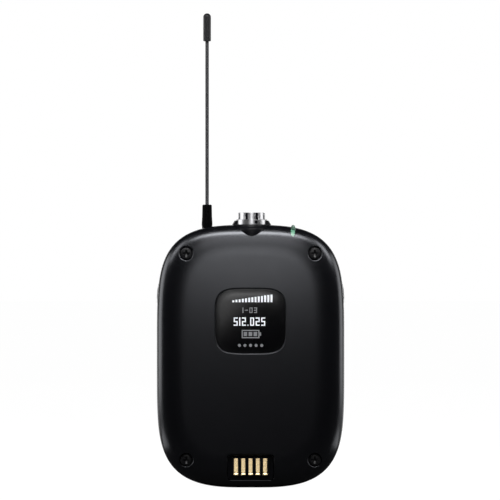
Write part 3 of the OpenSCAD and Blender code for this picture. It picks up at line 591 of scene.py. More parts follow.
def bead(shell, path, out, half_w, height):
    """Half-round closed rib along a path that lies on a skin, tapering at both ends."""
    along = unit(np.gradient(path, axis=0))
    across = unit(np.cross(out, along))
    turns = np.linspace(-BEAD_SINK, math.pi + BEAD_SINK, BEAD_SIDES + 1)
    slope = half_w / height
    last = len(path) - 1
    rows = []
    normals = []
    for i in range(len(path)):
        taper = min(1.0, (i + BEAD_TIP) / BEAD_TAPER, (last - i + BEAD_TIP) / BEAD_TAPER)
        size = math.sin(math.pi * taper / 2)
        ring = [half_w * math.cos(t) * across[i] + height * math.sin(t) * out[i] for t in turns]
        rows.append([path[i] + size * point for point in ring])
        normals.append([unit(math.cos(t) * across[i] + math.sin(t) * out[i] * slope) for t in turns])
    for p, q, m, n in zip(rows, rows[1:], normals, normals[1:]):
        for k in range(BEAD_SIDES):
            shell.face([p[k], q[k], q[k + 1], p[k + 1]], [m[k], n[k], n[k + 1], m[k + 1]])
        shell.flat([p[BEAD_SIDES], q[BEAD_SIDES], q[0], p[0]])
    shell.cap(rows[0], -along[0])
    shell.cap(rows[-1][::-1], along[-1])


# Copies of the frame's nodes
def welded(name):
    """Mesh of a node with its doubled points joined."""
    net = bmesh.new()
    net.from_mesh(frame["nodes"][name].data)
    bmesh.ops.remove_doubles(net, verts=net.verts, dist=WELD_M)
    return net


def rounded_copy(name, edge):
    """Copy of a node with its sharp edges rounded."""
    net = welded(name)
    bmesh.ops.dissolve_limit(net, angle_limit=math.radians(FLAT_TURN), verts=net.verts, edges=net.edges)
    if edge:
        limit = math.radians(SHARP_TURN)
        sharp = [e for e in net.edges if len(e.link_faces) == 2 and e.calc_face_angle() > limit]
        bmesh.ops.bevel(net, geom=sharp, offset=edge * MM, offset_type="OFFSET", segments=BEVEL_STEPS,
                        profile=0.5, affect="EDGES", clamp_overlap=True)
    return smooth_object(net, name + "_piece", True)


def on_skin(net, skin):
    """Faces of a mesh that lie on the skin."""
    co = np.array([v.co for v in net.verts]) / MM
    away, out = skin.field(co)
    net.verts.index_update()
    found = []
    for f in net.faces:
        ids = [v.index for v in f.verts]
        if np.abs(away[ids]).max() > SKIN_NEAR:
            continue
        if np.array(f.normal) @ unit(out[ids].mean(0)) > SKIN_FACING:
            found.append(f)
    return found


def skin_copy(name, skin):
    """Copy of a node whose facets on the skin are refined and follow it smoothly."""
    net = welded(name)
    bmesh.ops.triangulate(net, faces=net.faces)
    for _ in range(SKIN_SPLITS):
        edges = {e for f in on_skin(net, skin) for e in f.edges if e.calc_length() > SKIN_FACET * MM}
        bmesh.ops.subdivide_edges(net, edges=list(edges), cuts=1)
        bmesh.ops.triangulate(net, faces=net.faces)
    faces = on_skin(net, skin)
    verts = list({v for f in faces for v in f.verts})
    for _ in range(SKIN_PULLS):
        away, out = skin.field(np.array([v.co for v in verts]) / MM)
        for v, a, n in zip(verts, away, out):
            v.co -= Vector(n) * a * MM
    net.faces.index_update()
    outer = {f.index for f in faces}
    obj = to_object(net, name + "_shell")
    mesh = obj.data
    mesh.shade_smooth()
    mesh.set_sharp_from_angle(angle=math.radians(SKIN_TURN))
    normals = np.array([n.vector for n in mesh.corner_normals])
    co = np.array([v.co for v in mesh.vertices]) / MM
    out = skin.field(co)[1]
    for polygon in mesh.polygons:
        if polygon.index in outer:
            for k in polygon.loop_indices:
                normals[k] = out[mesh.loops[k].vertex_index]
    mesh.normals_split_custom_set(normals.tolist())
    return obj


# Case screws
def screw_places():
    """X and Z of the four screws."""
    low, high = box_mm("case_screws")
    return [(x, z) for x in (low[0] + HEAD_R, high[0] - HEAD_R) for z in (low[2] + HEAD_R, high[2] - HEAD_R)]


def cross_loop():
    w = CROSS_W / 2
    arm = CROSS_L / 2
    points = []
    for c, s in ((1, 0), (0, 1), (-1, 0), (0, -1)):
        points.append((arm * c + w * s, arm * s - w * c))
        points.append((arm * c - w * s, arm * s + w * c))
        points.append((w * (c - s), w * (c + s)))
    return np.array(points)


def add_screw(shell, middle):
    """Domed head with a tapered cross recess, on a plain shank."""
    low, high = box_mm("case_screws")

    def at(loop, y):
        return lift(loop + middle, y)

    def dome(loop):
        return low[1] + HEAD_DOME * (loop**2).sum(1) / HEAD_R**2

    rim = circle(0, 0, HEAD_R - HEAD_ROUND)
    cross = cross_loop()
    coords, triangles = fill([rim, cross], circle(0, 0, DOME_RING_R, DOME_RING_POINTS))
    top = at(coords, dome(coords))
    out = unit(lift(DOME_LEAN * coords / HEAD_R, -1))
    for ids in triangles:
        shell.face(top[ids], out[ids])

    rows = []
    side = lift(unit(rim), 0)
    for turn in quarter_turns(ROUND_STEPS):
        loop = circle(0, 0, HEAD_R - HEAD_ROUND * (1 - math.sin(turn)))
        row = at(loop, dome(rim)[0] + HEAD_ROUND * (1 - math.cos(turn)))
        rows.append((row, unit(math.sin(turn) * side + (0, -math.cos(turn), 0))))
    for r, y in ((HEAD_R, SCREW_FLOOR_Y), (SHANK_R, SCREW_FLOOR_Y), (SHANK_R, high[1])):
        rows.append((at(circle(0, 0, r), y), side))
    shell.strip(rows[::-1])
    shell.cap(rows[-1][0][::-1], (0, 1, 0))

    upper = at(cross, dome(cross))
    taper = CROSS_TAPER * np.linalg.norm(cross, axis=1) / (CROSS_L / 2)
    lower = at(cross, dome(cross) + CROSS_T * (1 - taper))
    deepest = at(np.zeros((1, 2)), low[1] + CROSS_T)[0]
    for i in range(len(cross)):
        j = (i + 1) % len(cross)
        shell.flat([upper[i], upper[j], lower[j], lower[i]])
        shell.flat([lower[i], lower[j], deepest])


def case_screws():
    shell = Shell()
    for middle in screw_places():
        add_screw(shell, middle)
    return shell.build("case_screws_piece")


def screw_gap_shade():
    """Painted shade: dark washers under the screw heads, so that the gap round each head in its recess looks
    dark.
    """
    shell = Shell()
    outer_r = SCREW_RECESS_R - SEAT_GAP
    steps = [(outer_r, SEAT_GAP), (outer_r, SEAT_RISE)]
    steps += [(HEAD_R + SEAT_LAP, SEAT_DIP), (HEAD_R - SEAT_LAP, SEAT_DIP)]
    for x, z in screw_places():
        rows = [lift(circle(x, z, r), SCREW_FLOOR_Y - rise) for r, rise in steps]
        shell.strip([(row, [(0, -1, 0)] * len(row)) for row in rows])
        shell.strip([(row, [(0, 1, 0)] * len(row)) for row in (rows[-1], rows[0])])
    return shell.build("screw_gap_shade")


# Front cover
def screw_loop(x, z, grow):
    return circle(x, z, SCREW_RECESS_R + grow)


def display_loop(grow):
    half_w, half_h = half_mm("display_window") + SET_GAP + grow
    return squircle(half_w, half_h, DISPLAY_POWER, DISPLAY_POWER, DISPLAY_POINTS) + (0, WINDOW_Z)


def contact_loop(grow):
    half_w, half_h = half_mm("contact_block") + SET_GAP + grow
    return round_rect(half_w, half_h, CONTACT_CORNER + grow) + (0, middle_mm("contact_block")[2])


def cover_border(shell):
    """Back, seam edge and outer border; returns the border's last loop and points for the face inside it."""
    rows = []
    for turn in quarter_turns(ROUND_STEPS):
        loop = outline(SEAM_ROUND * (1 - math.sin(turn)), RIM_POINTS)
        out = FRONT_SKIN.field(lift(loop, SEAM_Y))[1]
        row = lift(loop, SEAM_Y - SEAM_ROUND * (1 - math.cos(turn)))
        rows.append((row, unit(math.sin(turn) * out + (0, math.cos(turn), 0))))
    spare = []
    for k in range(BORDER_ROWS + 1):
        c, s = quarter(k / BORDER_ROWS, EDGE_POWER, EDGE_POWER)
        inset = EDGE_W * (1 - c)
        if inset > STRIP_INSET:
            spare.append(outline(inset, FACE_POINTS))
            continue
        row = lift(outline(inset, RIM_POINTS), FRONT_Y + FRONT_EDGE * (1 - s))
        rows.append((row, FRONT_SKIN.field(row)[1]))
    shell.strip(rows)
    shell.cap(rows[0][0][::-1], (0, 1, 0))
    return rows[-1][0][:, [0, 2]], np.vstack(spare)


def display_seat(shell, display):
    """Recess of the window, with the well behind its view."""
    seat = display.cut(shell)
    view = round_rect(*VIEW_HALF, VIEW_CORNER) + (0, WINDOW_Z)
    coords, triangles = fill([seat, view], np.empty((0, 2)))
    for ids in triangles:
        shell.cap(lift(coords[ids], display.floor_y), (0, -1, 0))
    walls = [lift(view, display.floor_y), lift(view, display.floor_y + VIEW_DEPTH)]
    shell.strip([(wall, left_of(view)) for wall in walls])
    shell.cap(walls[1], (0, -1, 0))


def front_cover():
    """Front of the case, with recesses for the screws, the window and the charging contacts."""
    shell = Shell()
    border, spare = cover_border(shell)
    contact_y = box_mm("contact_block")[0][1] + CONTACT_DEPTH
    screws = [Recess(partial(screw_loop, x, z), SCREW_LIP, SCREW_FLOOR_Y) for x, z in screw_places()]
    display = Recess(display_loop, DISPLAY_LIP, box_mm("display_window")[1][1])
    contacts = Recess(contact_loop, CONTACT_LIP, contact_y)
    recesses = screws + [display, contacts]
    for recess in recesses:
        spare = spare[~holds(recess.loop(recess.lip + LIP_MARGIN), spare)]
    coords, triangles = fill([border] + [recess.loop(recess.lip) for recess in recesses], spare)
    points = lift(coords, FRONT_SKIN.depth(coords))
    out = FRONT_SKIN.field(points)[1]
    for ids in triangles:
        shell.face(points[ids], out[ids])
    for recess in screws + [contacts]:
        shell.cap(lift(recess.cut(shell), recess.floor_y), (0, -1, 0))
    display_seat(shell, display)
    return shell.build("front_cover_shell")


# Window and its marks
def display_lens():
    """Crowned window with a rounded rim."""
    low, high = box_mm("display_window")
    half = half_mm("display_window")
    middle = np.array([0, WINDOW_Z])
    base = display_loop(-SET_GAP) - middle
    side = -left_of(base)
    shell = Shell()
    rows = [(lift(base + middle, high[1]), side)]
    for turn in quarter_turns(ROUND_STEPS):
        shrink = 1 - LENS_ROUND * (1 - math.cos(turn)) / half[0]
        row = lift(base * shrink + middle, low[1] + LENS_CROWN + LENS_ROUND * (1 - math.sin(turn)))
        rows.append((row, unit(math.cos(turn) * side + (0, -math.sin(turn), 0))))
    rim = base * (1 - LENS_ROUND / half[0])
    for share in LENS_RINGS:
        loop = rim * share
        row = lift(loop + middle, low[1] + LENS_CROWN * share**2)
        rows.append((row, unit(lift(2 * LENS_CROWN * loop / half**2, -1))))
    shell.solid(rows, (0, -1, 0))
    return shell.build("display_lens")


def window_depth(loop):
    """Depth of the crowned front of the window."""
    off = np.abs(loop - (0, WINDOW_Z)) / (half_mm("display_window") - LENS_ROUND)
    rise = LENS_CROWN * (off**DISPLAY_POWER).sum(1) ** (2 / DISPLAY_POWER)
    return box_mm("display_window")[0][1] + rise


SEGMENTS = {"0": "abcdef", "1": "bc", "2": "abged", "3": "abgcd", "5": "afgcd", "-": "g"}


class Readout(Shell):
    """Small lit shapes laid on the window, at places from its middle."""

    def shape(self, loop):
        loop = np.array(loop) + (0, WINDOW_Z)
        y = window_depth(loop)
        rows = [lift(loop, y + MARK_T), lift(loop, y - MARK_T)]
        self.solid([(row, [(0, -1, 0)] * len(row)) for row in rows], (0, -1, 0))

    def bar(self, x0, z0, x1, z1):
        self.shape([(x0, z0), (x1, z0), (x1, z1), (x0, z1)])

    def digits(self, text, x, z, w, h, stroke, gap):
        """Seven-segment characters from the left end of their base line."""
        middle = z + h / 2
        top = z + h
        for mark in text:
            if mark == ".":
                self.bar(x, z, x + stroke, z + stroke)
                x += stroke + gap
                continue
            if mark == "1":
                x -= w - stroke
            right = x + w
            places = {
                "a": (x, top - stroke, right, top),
                "b": (right - stroke, middle, right, top),
                "c": (right - stroke, z, right, middle),
                "d": (x, z, right, z + stroke),
                "e": (x, z, x + stroke, middle),
                "f": (x, middle, x + stroke, top),
                "g": (x, middle - stroke / 2, right, middle + stroke / 2),
            }
            for name in SEGMENTS[mark]:
                self.bar(*places[name])
            x += w + gap

    def border(self, x0, z0, x1, z1, stroke):
        self.bar(x0, z0, x1, z0 + stroke)
        self.bar(x0, z1 - stroke, x1, z1)
        self.bar(x0, z0 + stroke, x0 + stroke, z1 - stroke)
        self.bar(x1 - stroke, z0 + stroke, x1, z1 - stroke)

    def battery(self):
        side = CELL_W / 2
        tip_z = CELL_Z + (CELL_H - CELL_TIP_H) / 2
        bar_z = CELL_Z + (CELL_H - CHARGE_H) / 2
        self.border(-side, CELL_Z, side, CELL_Z + CELL_H, CELL_STROKE)
        self.bar(side, tip_z, side + CELL_TIP_W, tip_z + CELL_TIP_H)
        for k in range(CHARGE_BARS):
            x = CHARGE_X + CHARGE_PITCH * k
            self.bar(x, bar_z, x + CHARGE_W, bar_z + CHARGE_H)


def display_marks():
    """Numbers, a battery sign, a level scale and a row of dots, each with its finish."""
    numbers = Readout()
    numbers.digits("512.025", *NUMBER_PLACE, **LARGE_TYPE)
    status = Readout()
    status.digits("1-03", *CHANNEL_PLACE, **SMALL_TYPE)
    status.battery()
    scale = Readout()
    for k in range(SCALE_BARS):
        x = SCALE_X + SCALE_PITCH * k
        scale.bar(x, SCALE_Z, x + SCALE_W, SCALE_Z + SCALE_H + SCALE_GROWTH * k)
    dots = Readout()
    for k in range(DOTS):
        dots.shape(circle(DOT_PITCH * (k - (DOTS - 1) / 2), DOT_Z, DOT_R, DOT_POINTS))
    return [
        (numbers.build("display_digits"), "screen_white"),
        (status.build("display_status"), "screen_grey"),
        (scale.build("level_scale"), "screen_white"),
        (dots.build("level_dots"), "screen_grey"),
    ]


# Grips
def door_grip():
    """Ribs across the battery door, under its upper end."""
    first_z = box_mm("battery_door")[1][2] - DOOR_RIB_DROP
    along = np.linspace(-DOOR_RIB_HALF, DOOR_RIB_HALF, DOOR_RIB_POINTS)
    shell = Shell()
    for k in range(DOOR_RIBS):
        loop = np.array([(x, first_z + DOOR_RIB_PITCH * k) for x in along])
        path = lift(loop, BACK_SKIN.depth(loop))
        bead(shell, path, BACK_SKIN.field(path)[1], DOOR_RIB_W / 2, DOOR_RIB_RISE)
    return shell.build("door_grip")


def latch_grip(name, side):
    """Upright ribs on the outer face of a latch."""
    low, high = box_mm(name)
    along = np.linspace(low[2] + LATCH_RIB_UP, high[2] - LATCH_RIB_DOWN, LATCH_RIB_POINTS)
    shell = Shell()
    for k in range(LATCH_RIBS):
        y = low[1] + LATCH_RIB_IN + LATCH_RIB_PITCH * k
        path = np.array([(side * HALF_W, y, z) for z in along])
        for _ in range(LATCH_RIB_PULLS):
            away, out = TAB_SKIN.field(path)
            path = path - away[:, None] * out
        bead(shell, path, out, LATCH_RIB_W / 2, LATCH_RIB_RISE)
    return shell.build(name + "_grip")


def battery_grip():
    """Ribs and a raised plain panel on the battery's outer face."""
    low, high = box_mm("battery_pack")
    back = np.array([0.0, 1.0, 0.0])
    shell = Shell()
    along = np.linspace(-GRIP_HALF, GRIP_HALF, GRIP_POINTS)
    for k in range(GRIP_RIBS):
        z = high[2] - GRIP_DROP - GRIP_PITCH * k
        path = np.array([(x, high[1], z) for x in along])
        bead(shell, path, np.tile(back, (len(path), 1)), GRIP_W / 2, GRIP_RISE)
    half_w, half_h = half_mm("battery_pack") - PANEL_MARGIN
    half_h -= (GRIP_DROP + GRIP_PITCH * GRIP_RIBS - PANEL_MARGIN) / 2
    middle = (0, low[2] + PANEL_MARGIN + half_h)
    steps = [(0, -PANEL_SINK), (0, PANEL_RISE / 2), (PANEL_CHAMFER, PANEL_RISE), (PANEL_BAND, PANEL_RISE)]
    rows = []
    for inset, rise in steps:
        loop = round_rect(half_w - inset, half_h - inset, PANEL_CORNER) + middle
        rows.append(lift(loop[::-1], high[1] + rise))
    side = left_of(rows[0][:, [0, 2]])
    face = np.tile(back, (len(side), 1))
    shell.solid(list(zip(rows, [side, side, face, face])), back)
    return shell.build("battery_grip")


# Charging contacts
def contact_pitch():
    low, high = box_mm("charging_contacts")
    return (high[0] - low[0] - PAD_W) / (PADS - 1)


def contact_ribs():
    """Thin walls beside and between the charging contacts."""
    back_y = box_mm("contact_block")[0][1] + WALL_SINK
    low, high = box_mm("charging_contacts")
    height = high[2] - low[2] + WALL_OVER
    net = bmesh.new()
    for k in range(PADS + 1):
        x = (k - PADS / 2) * contact_pitch()
        for v in bmesh.ops.create_cube(net, size=1.0)["verts"]:
            v.co = Vector((
                x + v.co.x * WALL_W,
                back_y + (v.co.y - 0.5) * WALL_T,
                (low[2] + high[2]) / 2 + v.co.z * height,
            )) * MM
    bmesh.ops.bevel(net, geom=list(net.edges), offset=WALL_EDGE * MM, segments=BEVEL_STEPS, profile=0.5,
                    affect="EDGES")
    obj = to_object(net, "contact_ribs")
    obj.data.shade_smooth()
    obj.modifiers.new("even", "WEIGHTED_NORMAL")
    return obj


def contact_profile():
    """Side view of a contact, as Y and Z: it leans out downwards and its lower end curls forward."""
    low, high = box_mm("charging_contacts")
    lean = math.radians(PAD_LEAN)
    y = low[1] + PAD_SINK
    z = low[2] + PAD_CURL
    profile = [(y, high[2]), (y - math.tan(lean) * (high[2] - z), z)]
    step = (PAD_CURL - PAD_ROUND) / PAD_ROWS
    for k in range(1, PAD_ROWS + 1):
        turn = lean + (math.radians(PAD_TURN) - lean) * k / PAD_ROWS
        y, z = profile[-1]
        profile.append((y - math.tan(turn) * step, z - step))
    y, z = profile[-1]
    profile.append((y + PAD_NOSE * PAD_ROUND, z - (1 - PAD_NOSE) * PAD_ROUND))
    profile.append((y + PAD_ROUND, z - PAD_ROUND))
    return profile + [(high[1], low[2]), (high[1], high[2])]


def charging_contacts():
    """Row of equal leaves with rounded edges."""
    first_x = box_mm("charging_contacts")[0][0]
    net = bmesh.new()
    for k in range(PADS):
        x = first_x + k * contact_pitch()
        ring = [net.verts.new(Vector((x, y, z)) * MM) for y, z in contact_profile()]
        side = net.faces.new(ring)
        for v in bmesh.ops.extrude_face_region(net, geom=[side])["geom"]:
            if isinstance(v, bmesh.types.BMVert):
                v.co.x += PAD_W * MM
    bmesh.ops.recalc_face_normals(net, faces=net.faces)
    sharp = [e for e in net.edges if e.calc_face_angle() > math.radians(PAD_EDGE_TURN)]
    bmesh.ops.bevel(net, geom=sharp, offset=PAD_EDGE * MM, segments=PAD_EDGE_STEPS, profile=0.5,
                    affect="EDGES")
    return smooth_object(net, "charging_contacts_piece")


# Connector
def connector_collar():
    """Collar whose front has a round shoulder and runs down into the case in a bow."""
    low, high = box_mm("connector_collar")
    heights = [high[2] + rise for rise, r in COLLAR_ROWS]
    radii = [r for rise, r in COLLAR_ROWS]
    obj = rounded_copy("connector_collar", COLLAR_EDGE)
    net = bmesh.new()
    net.from_mesh(obj.data)
    for z in heights[1:-1]:
        everything = list(net.verts) + list(net.edges) + list(net.faces)
        bmesh.ops.bisect_plane(net, geom=everything, dist=WELD_M, plane_co=(0, 0, z * MM), plane_no=(0, 0, 1))
    net.to_mesh(obj.data)
    net.free()
    x, y, _ = middle_mm("connector_nut")
    for v in obj.data.vertices:
        ax, ay, z = v.co.x / MM - x, v.co.y / MM - y, v.co.z / MM
        wall_r = math.hypot(ax, ay)
        off_front = math.degrees(math.atan2(abs(ax), -ay))
        share = min(max((COLLAR_SIDE - off_front) / COLLAR_BLEND, 0.0), 1.0)
        if wall_r < COLLAR_WALL_R or share == 0:
            continue
        if z < low[2] + COLLAR_FOOT:
            z -= share * COLLAR_DEEPER
        r = wall_r + share * (np.interp(z, heights, radii) - COLLAR_R)
        v.co = Vector((x + r * ax / wall_r, y + r * ay / wall_r, z)) * MM
    return obj


def round_nut(turn, out, side, z):
    """Place at a turn round the nut's axis, so far out from it and to the side."""
    x, y, _ = middle_mm("connector_nut")
    c = math.cos(turn)
    s = math.sin(turn)
    return Vector((x + out * c - side * s, y + out * s + side * c, z)) * MM


def notch_shade_and_set_screw():
    """Painted shade: dark blocks on the floors of the nut's spanner notches, where shade falls. Also the
    nut's set screw, a real part.
    """
    low, high = box_mm("connector_nut")
    notch_z = high[2] - NOTCH_H / 2 - NOTCH_DROP
    net = bmesh.new()
    for k in range(NOTCHES):
        turn = 2 * math.pi * (k + 0.5) / NOTCHES
        for v in bmesh.ops.create_cube(net, size=1.0)["verts"]:
            out = NOTCH_R + NOTCH_SHADE_T * (v.co.x + 0.5)
            v.co = round_nut(turn, out, NOTCH_W * v.co.y, notch_z + (NOTCH_H - NOTCH_SHORT) * v.co.z)
    flange_r = half_mm("connector_nut")[0]
    screw_turn = math.radians(-90 + SET_SCREW_TURN)
    screw = bmesh.ops.create_cone(net, cap_ends=True, segments=SET_SCREW_SIDES, radius1=SET_SCREW_R,
                                  radius2=SET_SCREW_R, depth=SET_SCREW_T)
    for v in screw["verts"]:
        out = flange_r + v.co.z - SET_SCREW_SINK
        v.co = round_nut(screw_turn, out, v.co.x, low[2] + SET_SCREW_UP + v.co.y)
    bmesh.ops.recalc_face_normals(net, faces=net.faces)
    return to_object(net, "notch_shade_and_set_screw")


# Antenna boot and light
def antenna_boot():
    """Boot that swells at the case, then narrows to a rounded top."""
    low, high = box_mm("antenna_boot")
    hole_r = half_mm("antenna_boot")[0]
    top_r = BOOT_TOP_D / 2
    profile = [
        (hole_r, low[2]),
        (hole_r, TOP_Z - BOOT_NECK),
        (hole_r + BOOT_SWELL, TOP_Z),
        (hole_r + BOOT_WAIST, TOP_Z + BOOT_WAIST_UP),
        (top_r + BOOT_WAIST, TOP_Z + BOOT_TAPER_UP),
        (top_r, high[2] - BOOT_SHOULDER),
    ]
    for turn in quarter_turns(ROUND_STEPS)[1:]:
        r = top_r - BOOT_ROUND * (1 - math.cos(turn))
        profile.append((r, high[2] - BOOT_ROUND * (1 - math.sin(turn))))
    return lathe("antenna_boot_piece", middle_mm("antenna_boot"), profile)


def light_pipe():
    low, high = box_mm("light_pipe")
    r = half_mm("light_pipe")[0]
    profile = [(r, low[2])] + [(share * r, high[2] - drop) for share, drop in PIPE_TIP]
    return lathe("light_pipe_piece", middle_mm("light_pipe"), profile)


def light_lens():
    """Lit lens of the light pipe, set flush in the rounded top edge."""
    middle = np.array([middle_mm("light_pipe")[0] + LIGHT_X, box_mm("light_pipe")[1][2] - LIGHT_DROP])
    rises = [(1.0, -LIGHT_SINK)]
    rises += [(share, LIGHT_DOME * (1 - share**2) + LIGHT_PROUD) for share in LIGHT_RINGS]
    rows = []
    for share, rise in rises:
        loop = middle + circle(0, 0, 1, LIGHT_POINTS) * LIGHT_HALF * share
        skin = lift(loop, FRONT_SKIN.depth(loop))
        out = FRONT_SKIN.field(skin)[1]
        rows.append((skin + rise * out, out))
    shell = Shell()
    shell.solid(rows, out[0])
    return shell.build("light_lens")


# Materials
MATERIALS = {}


def feed(tree, socket, value):
    """Sets an input to a value, or links it to another node's output."""
    if isinstance(value, bpy.types.NodeSocket):
        tree.links.new(value, socket)
    else:
        socket.default_value = value


def add_node(tree, kind, **inputs):
    """Shader node with its named inputs fed."""
    node = tree.nodes.new("ShaderNode" + kind)
    for name, value in inputs.items():
        feed(tree, node.inputs[name.replace("_", " ")], value)
    return node


def noise(tree, size, detail, stretch):
    """Noise with marks about size mm across."""
    coords = add_node(tree, "TexCoord").outputs["Object"]
    mapped = add_node(tree, "Mapping", Vector=coords, Scale=stretch).outputs["Vector"]
    return add_node(tree, "TexNoise", Vector=mapped, Scale=1 / (size * MM), Detail=detail).outputs["Fac"]


def surface(name, colour, roughness, vary=0.05, shade=0.12, blotch=5.0, grain=0.25, bump=0.004,
            stretch=(1, 1, 1), specular=0.5, glow=None, **sockets):
    """Principled material with uneven colour and gloss and a fine surface grain."""
    material = bpy.data.materials.new(name)
    material.use_nodes = True
    tree = material.node_tree
    mix = add_node(tree, "Mix")
    mix.data_type = "RGBA"
    feed(tree, mix.inputs[MIX_FACTOR], noise(tree, blotch, PATCH_DETAIL, stretch))
    feed(tree, mix.inputs[COLOUR_A], [c * (1 - shade) for c in colour] + [1])
    feed(tree, mix.inputs[COLOUR_B], [min(1, c * (1 + shade)) for c in colour] + [1])
    mixed = mix.outputs[COLOUR_OUT]
    patches = noise(tree, blotch / PATCH_SHARE, PATCH_DETAIL, stretch)
    gloss = add_node(tree, "MapRange", Value=patches, From_Min=NOISE_LOW, From_Max=NOISE_HIGH,
                     To_Min=roughness - vary, To_Max=roughness + vary)
    sockets.update(Base_Color=mixed, Roughness=gloss.outputs["Result"], Specular_IOR_Level=specular)
    if bump:
        height = noise(tree, grain, GRAIN_DETAIL, stretch)
        dents = add_node(tree, "Bump", Strength=1.0, Distance=bump * MM, Height=height)
        sockets["Normal"] = dents.outputs["Normal"]
    if glow:
        sockets.update(Emission_Color=mixed, Emission_Strength=glow)
    shader = tree.nodes["Principled BSDF"]
    for socket, value in sockets.items():
        feed(tree, shader.inputs[socket.replace("_", " ")], value)
    MATERIALS[name] = material


# Colour, roughness, spread of gloss and of shade, then mm of blotch, grain and bump, and the grain's stretch
surface("case_black", (0.0018, 0.0019, 0.0026), 0.255, 0.010, 0.15, 12, 0.2, 0.0003,
        specular=0.43, Specular_Tint=(0.91, 0.935, 1.0, 1.0))
surface("gloss_black", (0.004, 0.004, 0.005), 0.3, 0.04, bump=0.001, specular=0.06)
surface("seal_rubber", (0.004, 0.004, 0.004), 0.7, 0.06, bump=0.003, specular=0.05)
surface("soft_black", (0.001, 0.001, 0.0012), 0.55, 0.05, bump=0.001, specular=0.02)
surface("whip_black", (0.042, 0.042, 0.044), 0.8, 0.04, 0.05, bump=0, specular=0.02)
surface("tip_black", (0.013, 0.013, 0.014), 0.45, 0.04, bump=0.0005, specular=0.15)
surface("black_steel", (0.005, 0.005, 0.006), 0.4, 0.04, bump=0.0006, specular=0.25)
surface("gold", (0.97, 0.75, 0.43), 0.16, 0.03, 0.04, 2, 0.4, 0.0002, (4, 4, 0.5), Metallic=1.0)
surface("brass", (0.72, 0.55, 0.25), 0.3, 0.05, Metallic=1.0)
surface("window_black", (0.0012, 0.0012, 0.0016), 0.1, 0.01, 0.1, bump=0)
surface("panel_black", (0.0015, 0.0015, 0.002), 0.3, 0.03, bump=0, specular=0.1)
surface("screen_white", (0.72, 0.74, 0.78), 0.5, 0.05, 0.04, bump=0, glow=0.25)
surface("screen_grey", (0.16, 0.165, 0.175), 0.5, 0.05, 0.06, bump=0, glow=0.15)
surface("board_green", (0.03, 0.16, 0.07), 0.4, 0.08)
surface("steel", (0.6, 0.6, 0.62), 0.25, 0.06, 0.08, Metallic=1.0)
surface("nickel", (0.38, 0.38, 0.39), 0.33, 0.05, 0.06, 2, 0.4, 0.001, (1, 1, 6), Metallic=1.0)
surface("spring_steel", (0.62, 0.62, 0.64), 0.2, 0.06, 0.08, 3, 0.3, 0.002, Metallic=1.0)
surface("green_lens", (0.008, 0.05, 0.026), 0.25, 0.04, 0.2, 1, bump=0, glow=0.10)
surface("green_light", (0.09, 0.23, 0.15), 0.3, 0.04, 0.25, 0.6, bump=0, glow=0.16)
surface("grey_plastic", (0.06, 0.06, 0.064), 0.42, 0.06, bump=0.005)
surface("dark_red", (0.05, 0.005, 0.008), 0.12, 0.03, bump=0)
surface("battery_black", (0.03, 0.03, 0.034), 0.42, 0.06, bump=0.006)


# Pieces
def place(obj, slot, *nodes, body="housing", finish=None):
    """Gives a piece its finish and its body, and hides the nodes that it stands for."""
    obj.data.materials.append(MATERIALS[finish or slot])
    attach(obj, body)
    if nodes:
        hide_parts(*nodes)


place(front_cover(), "case_black", "front_cover")
place(skin_copy("rear_housing", BACK_SKIN), "case_black", "rear_housing")
place(skin_copy("battery_door", BACK_SKIN), "case_black", "battery_door", body="door")
place(skin_copy("left_latch", TAB_SKIN), "case_black", "left_latch", body="latch_left")
place(skin_copy("right_latch", TAB_SKIN), "case_black", "right_latch", body="latch_right")
place(door_grip(), "case_black", body="door")
place(latch_grip("left_latch", -1), "case_black", body="latch_left")
place(latch_grip("right_latch", 1), "case_black", body="latch_right")
place(display_lens(), "clear_window", "display_window", finish="window_black")
for marks, finish in display_marks():
    place(marks, "panel_black", finish=finish)
place(battery_grip(), "battery_black")
place(contact_ribs(), "gloss_black")
place(charging_contacts(), "gold", "charging_contacts")
place(connector_collar(), "gloss_black", "connector_collar")
# Painted shade in the nut's notches, and its real set screw
place(notch_shade_and_set_screw(), "gloss_black")
place(case_screws(), "black_steel", "case_screws")
# Painted shade in the gaps round the screw heads
place(screw_gap_shade(), "seal_rubber")
place(antenna_boot(), "soft_black", "antenna_boot")
place(light_pipe(), "green_lens", "light_pipe")
place(light_lens(), "green_lens", finish="green_light")

# Node, slot, body and edge rounding of the pieces that keep the frame's shape
KEPT_SHAPES = [
    ("case_seal", "seal_rubber", "housing", 0),
    ("display_panel", "panel_black", "housing", 0),
    ("contact_block", "gloss_black", "housing", 0.12),
    ("connector_barrel", "nickel", "housing", 0.12),
    ("connector_nut", "nickel", "housing", 0.14),
    ("connector_insert", "gloss_black", "housing", 0.1),
    ("connector_pins", "gold", "housing", 0),
    ("antenna_whip", "soft_black", "housing", 0),
    ("antenna_tip", "soft_black", "housing", 0.3),
    ("switch_slider", "grey_plastic", "slider", 0.12),
    ("left_button", "grey_plastic", "button_left", 0.4),
    ("right_button", "grey_plastic", "button_right", 0.4),
    ("infrared_window", "dark_red", "housing", 0.15),
    ("battery_pack", "battery_black", "housing", 0.9),
    ("battery_contacts", "gold", "housing", 0.1),
    ("hinge_pin", "steel", "housing", 0.15),
    ("clip_bracket", "case_black", "door", 0.5),
    ("bracket_screws", "steel", "door", 0.12),
    ("belt_clip", "spring_steel", "clip", 0),
]
OWN_FINISHES = {"antenna_whip": "whip_black", "antenna_tip": "tip_black"}
for node, slot, body, edge in KEPT_SHAPES:
    place(rounded_copy(node, edge), slot, node, body=body, finish=OWN_FINISHES.get(node))

# Nodes sealed inside the case, by finish
INSIDE = {
    "board_green": ("main_board", "control_board"),
    "brass": ("threaded_inserts", "antenna_base"),
    "steel": ("board_screws", "shield_can", "tact_switches"),
    "seal_rubber": ("display_pad",),
    "green_lens": ("light_source",),
    "grey_plastic": ("switch_body",),
}
for finish, nodes in INSIDE.items():
    for node in nodes:
        data = frame["nodes"][node].data
        data.materials.clear()
        data.materials.append(MATERIALS[finish])


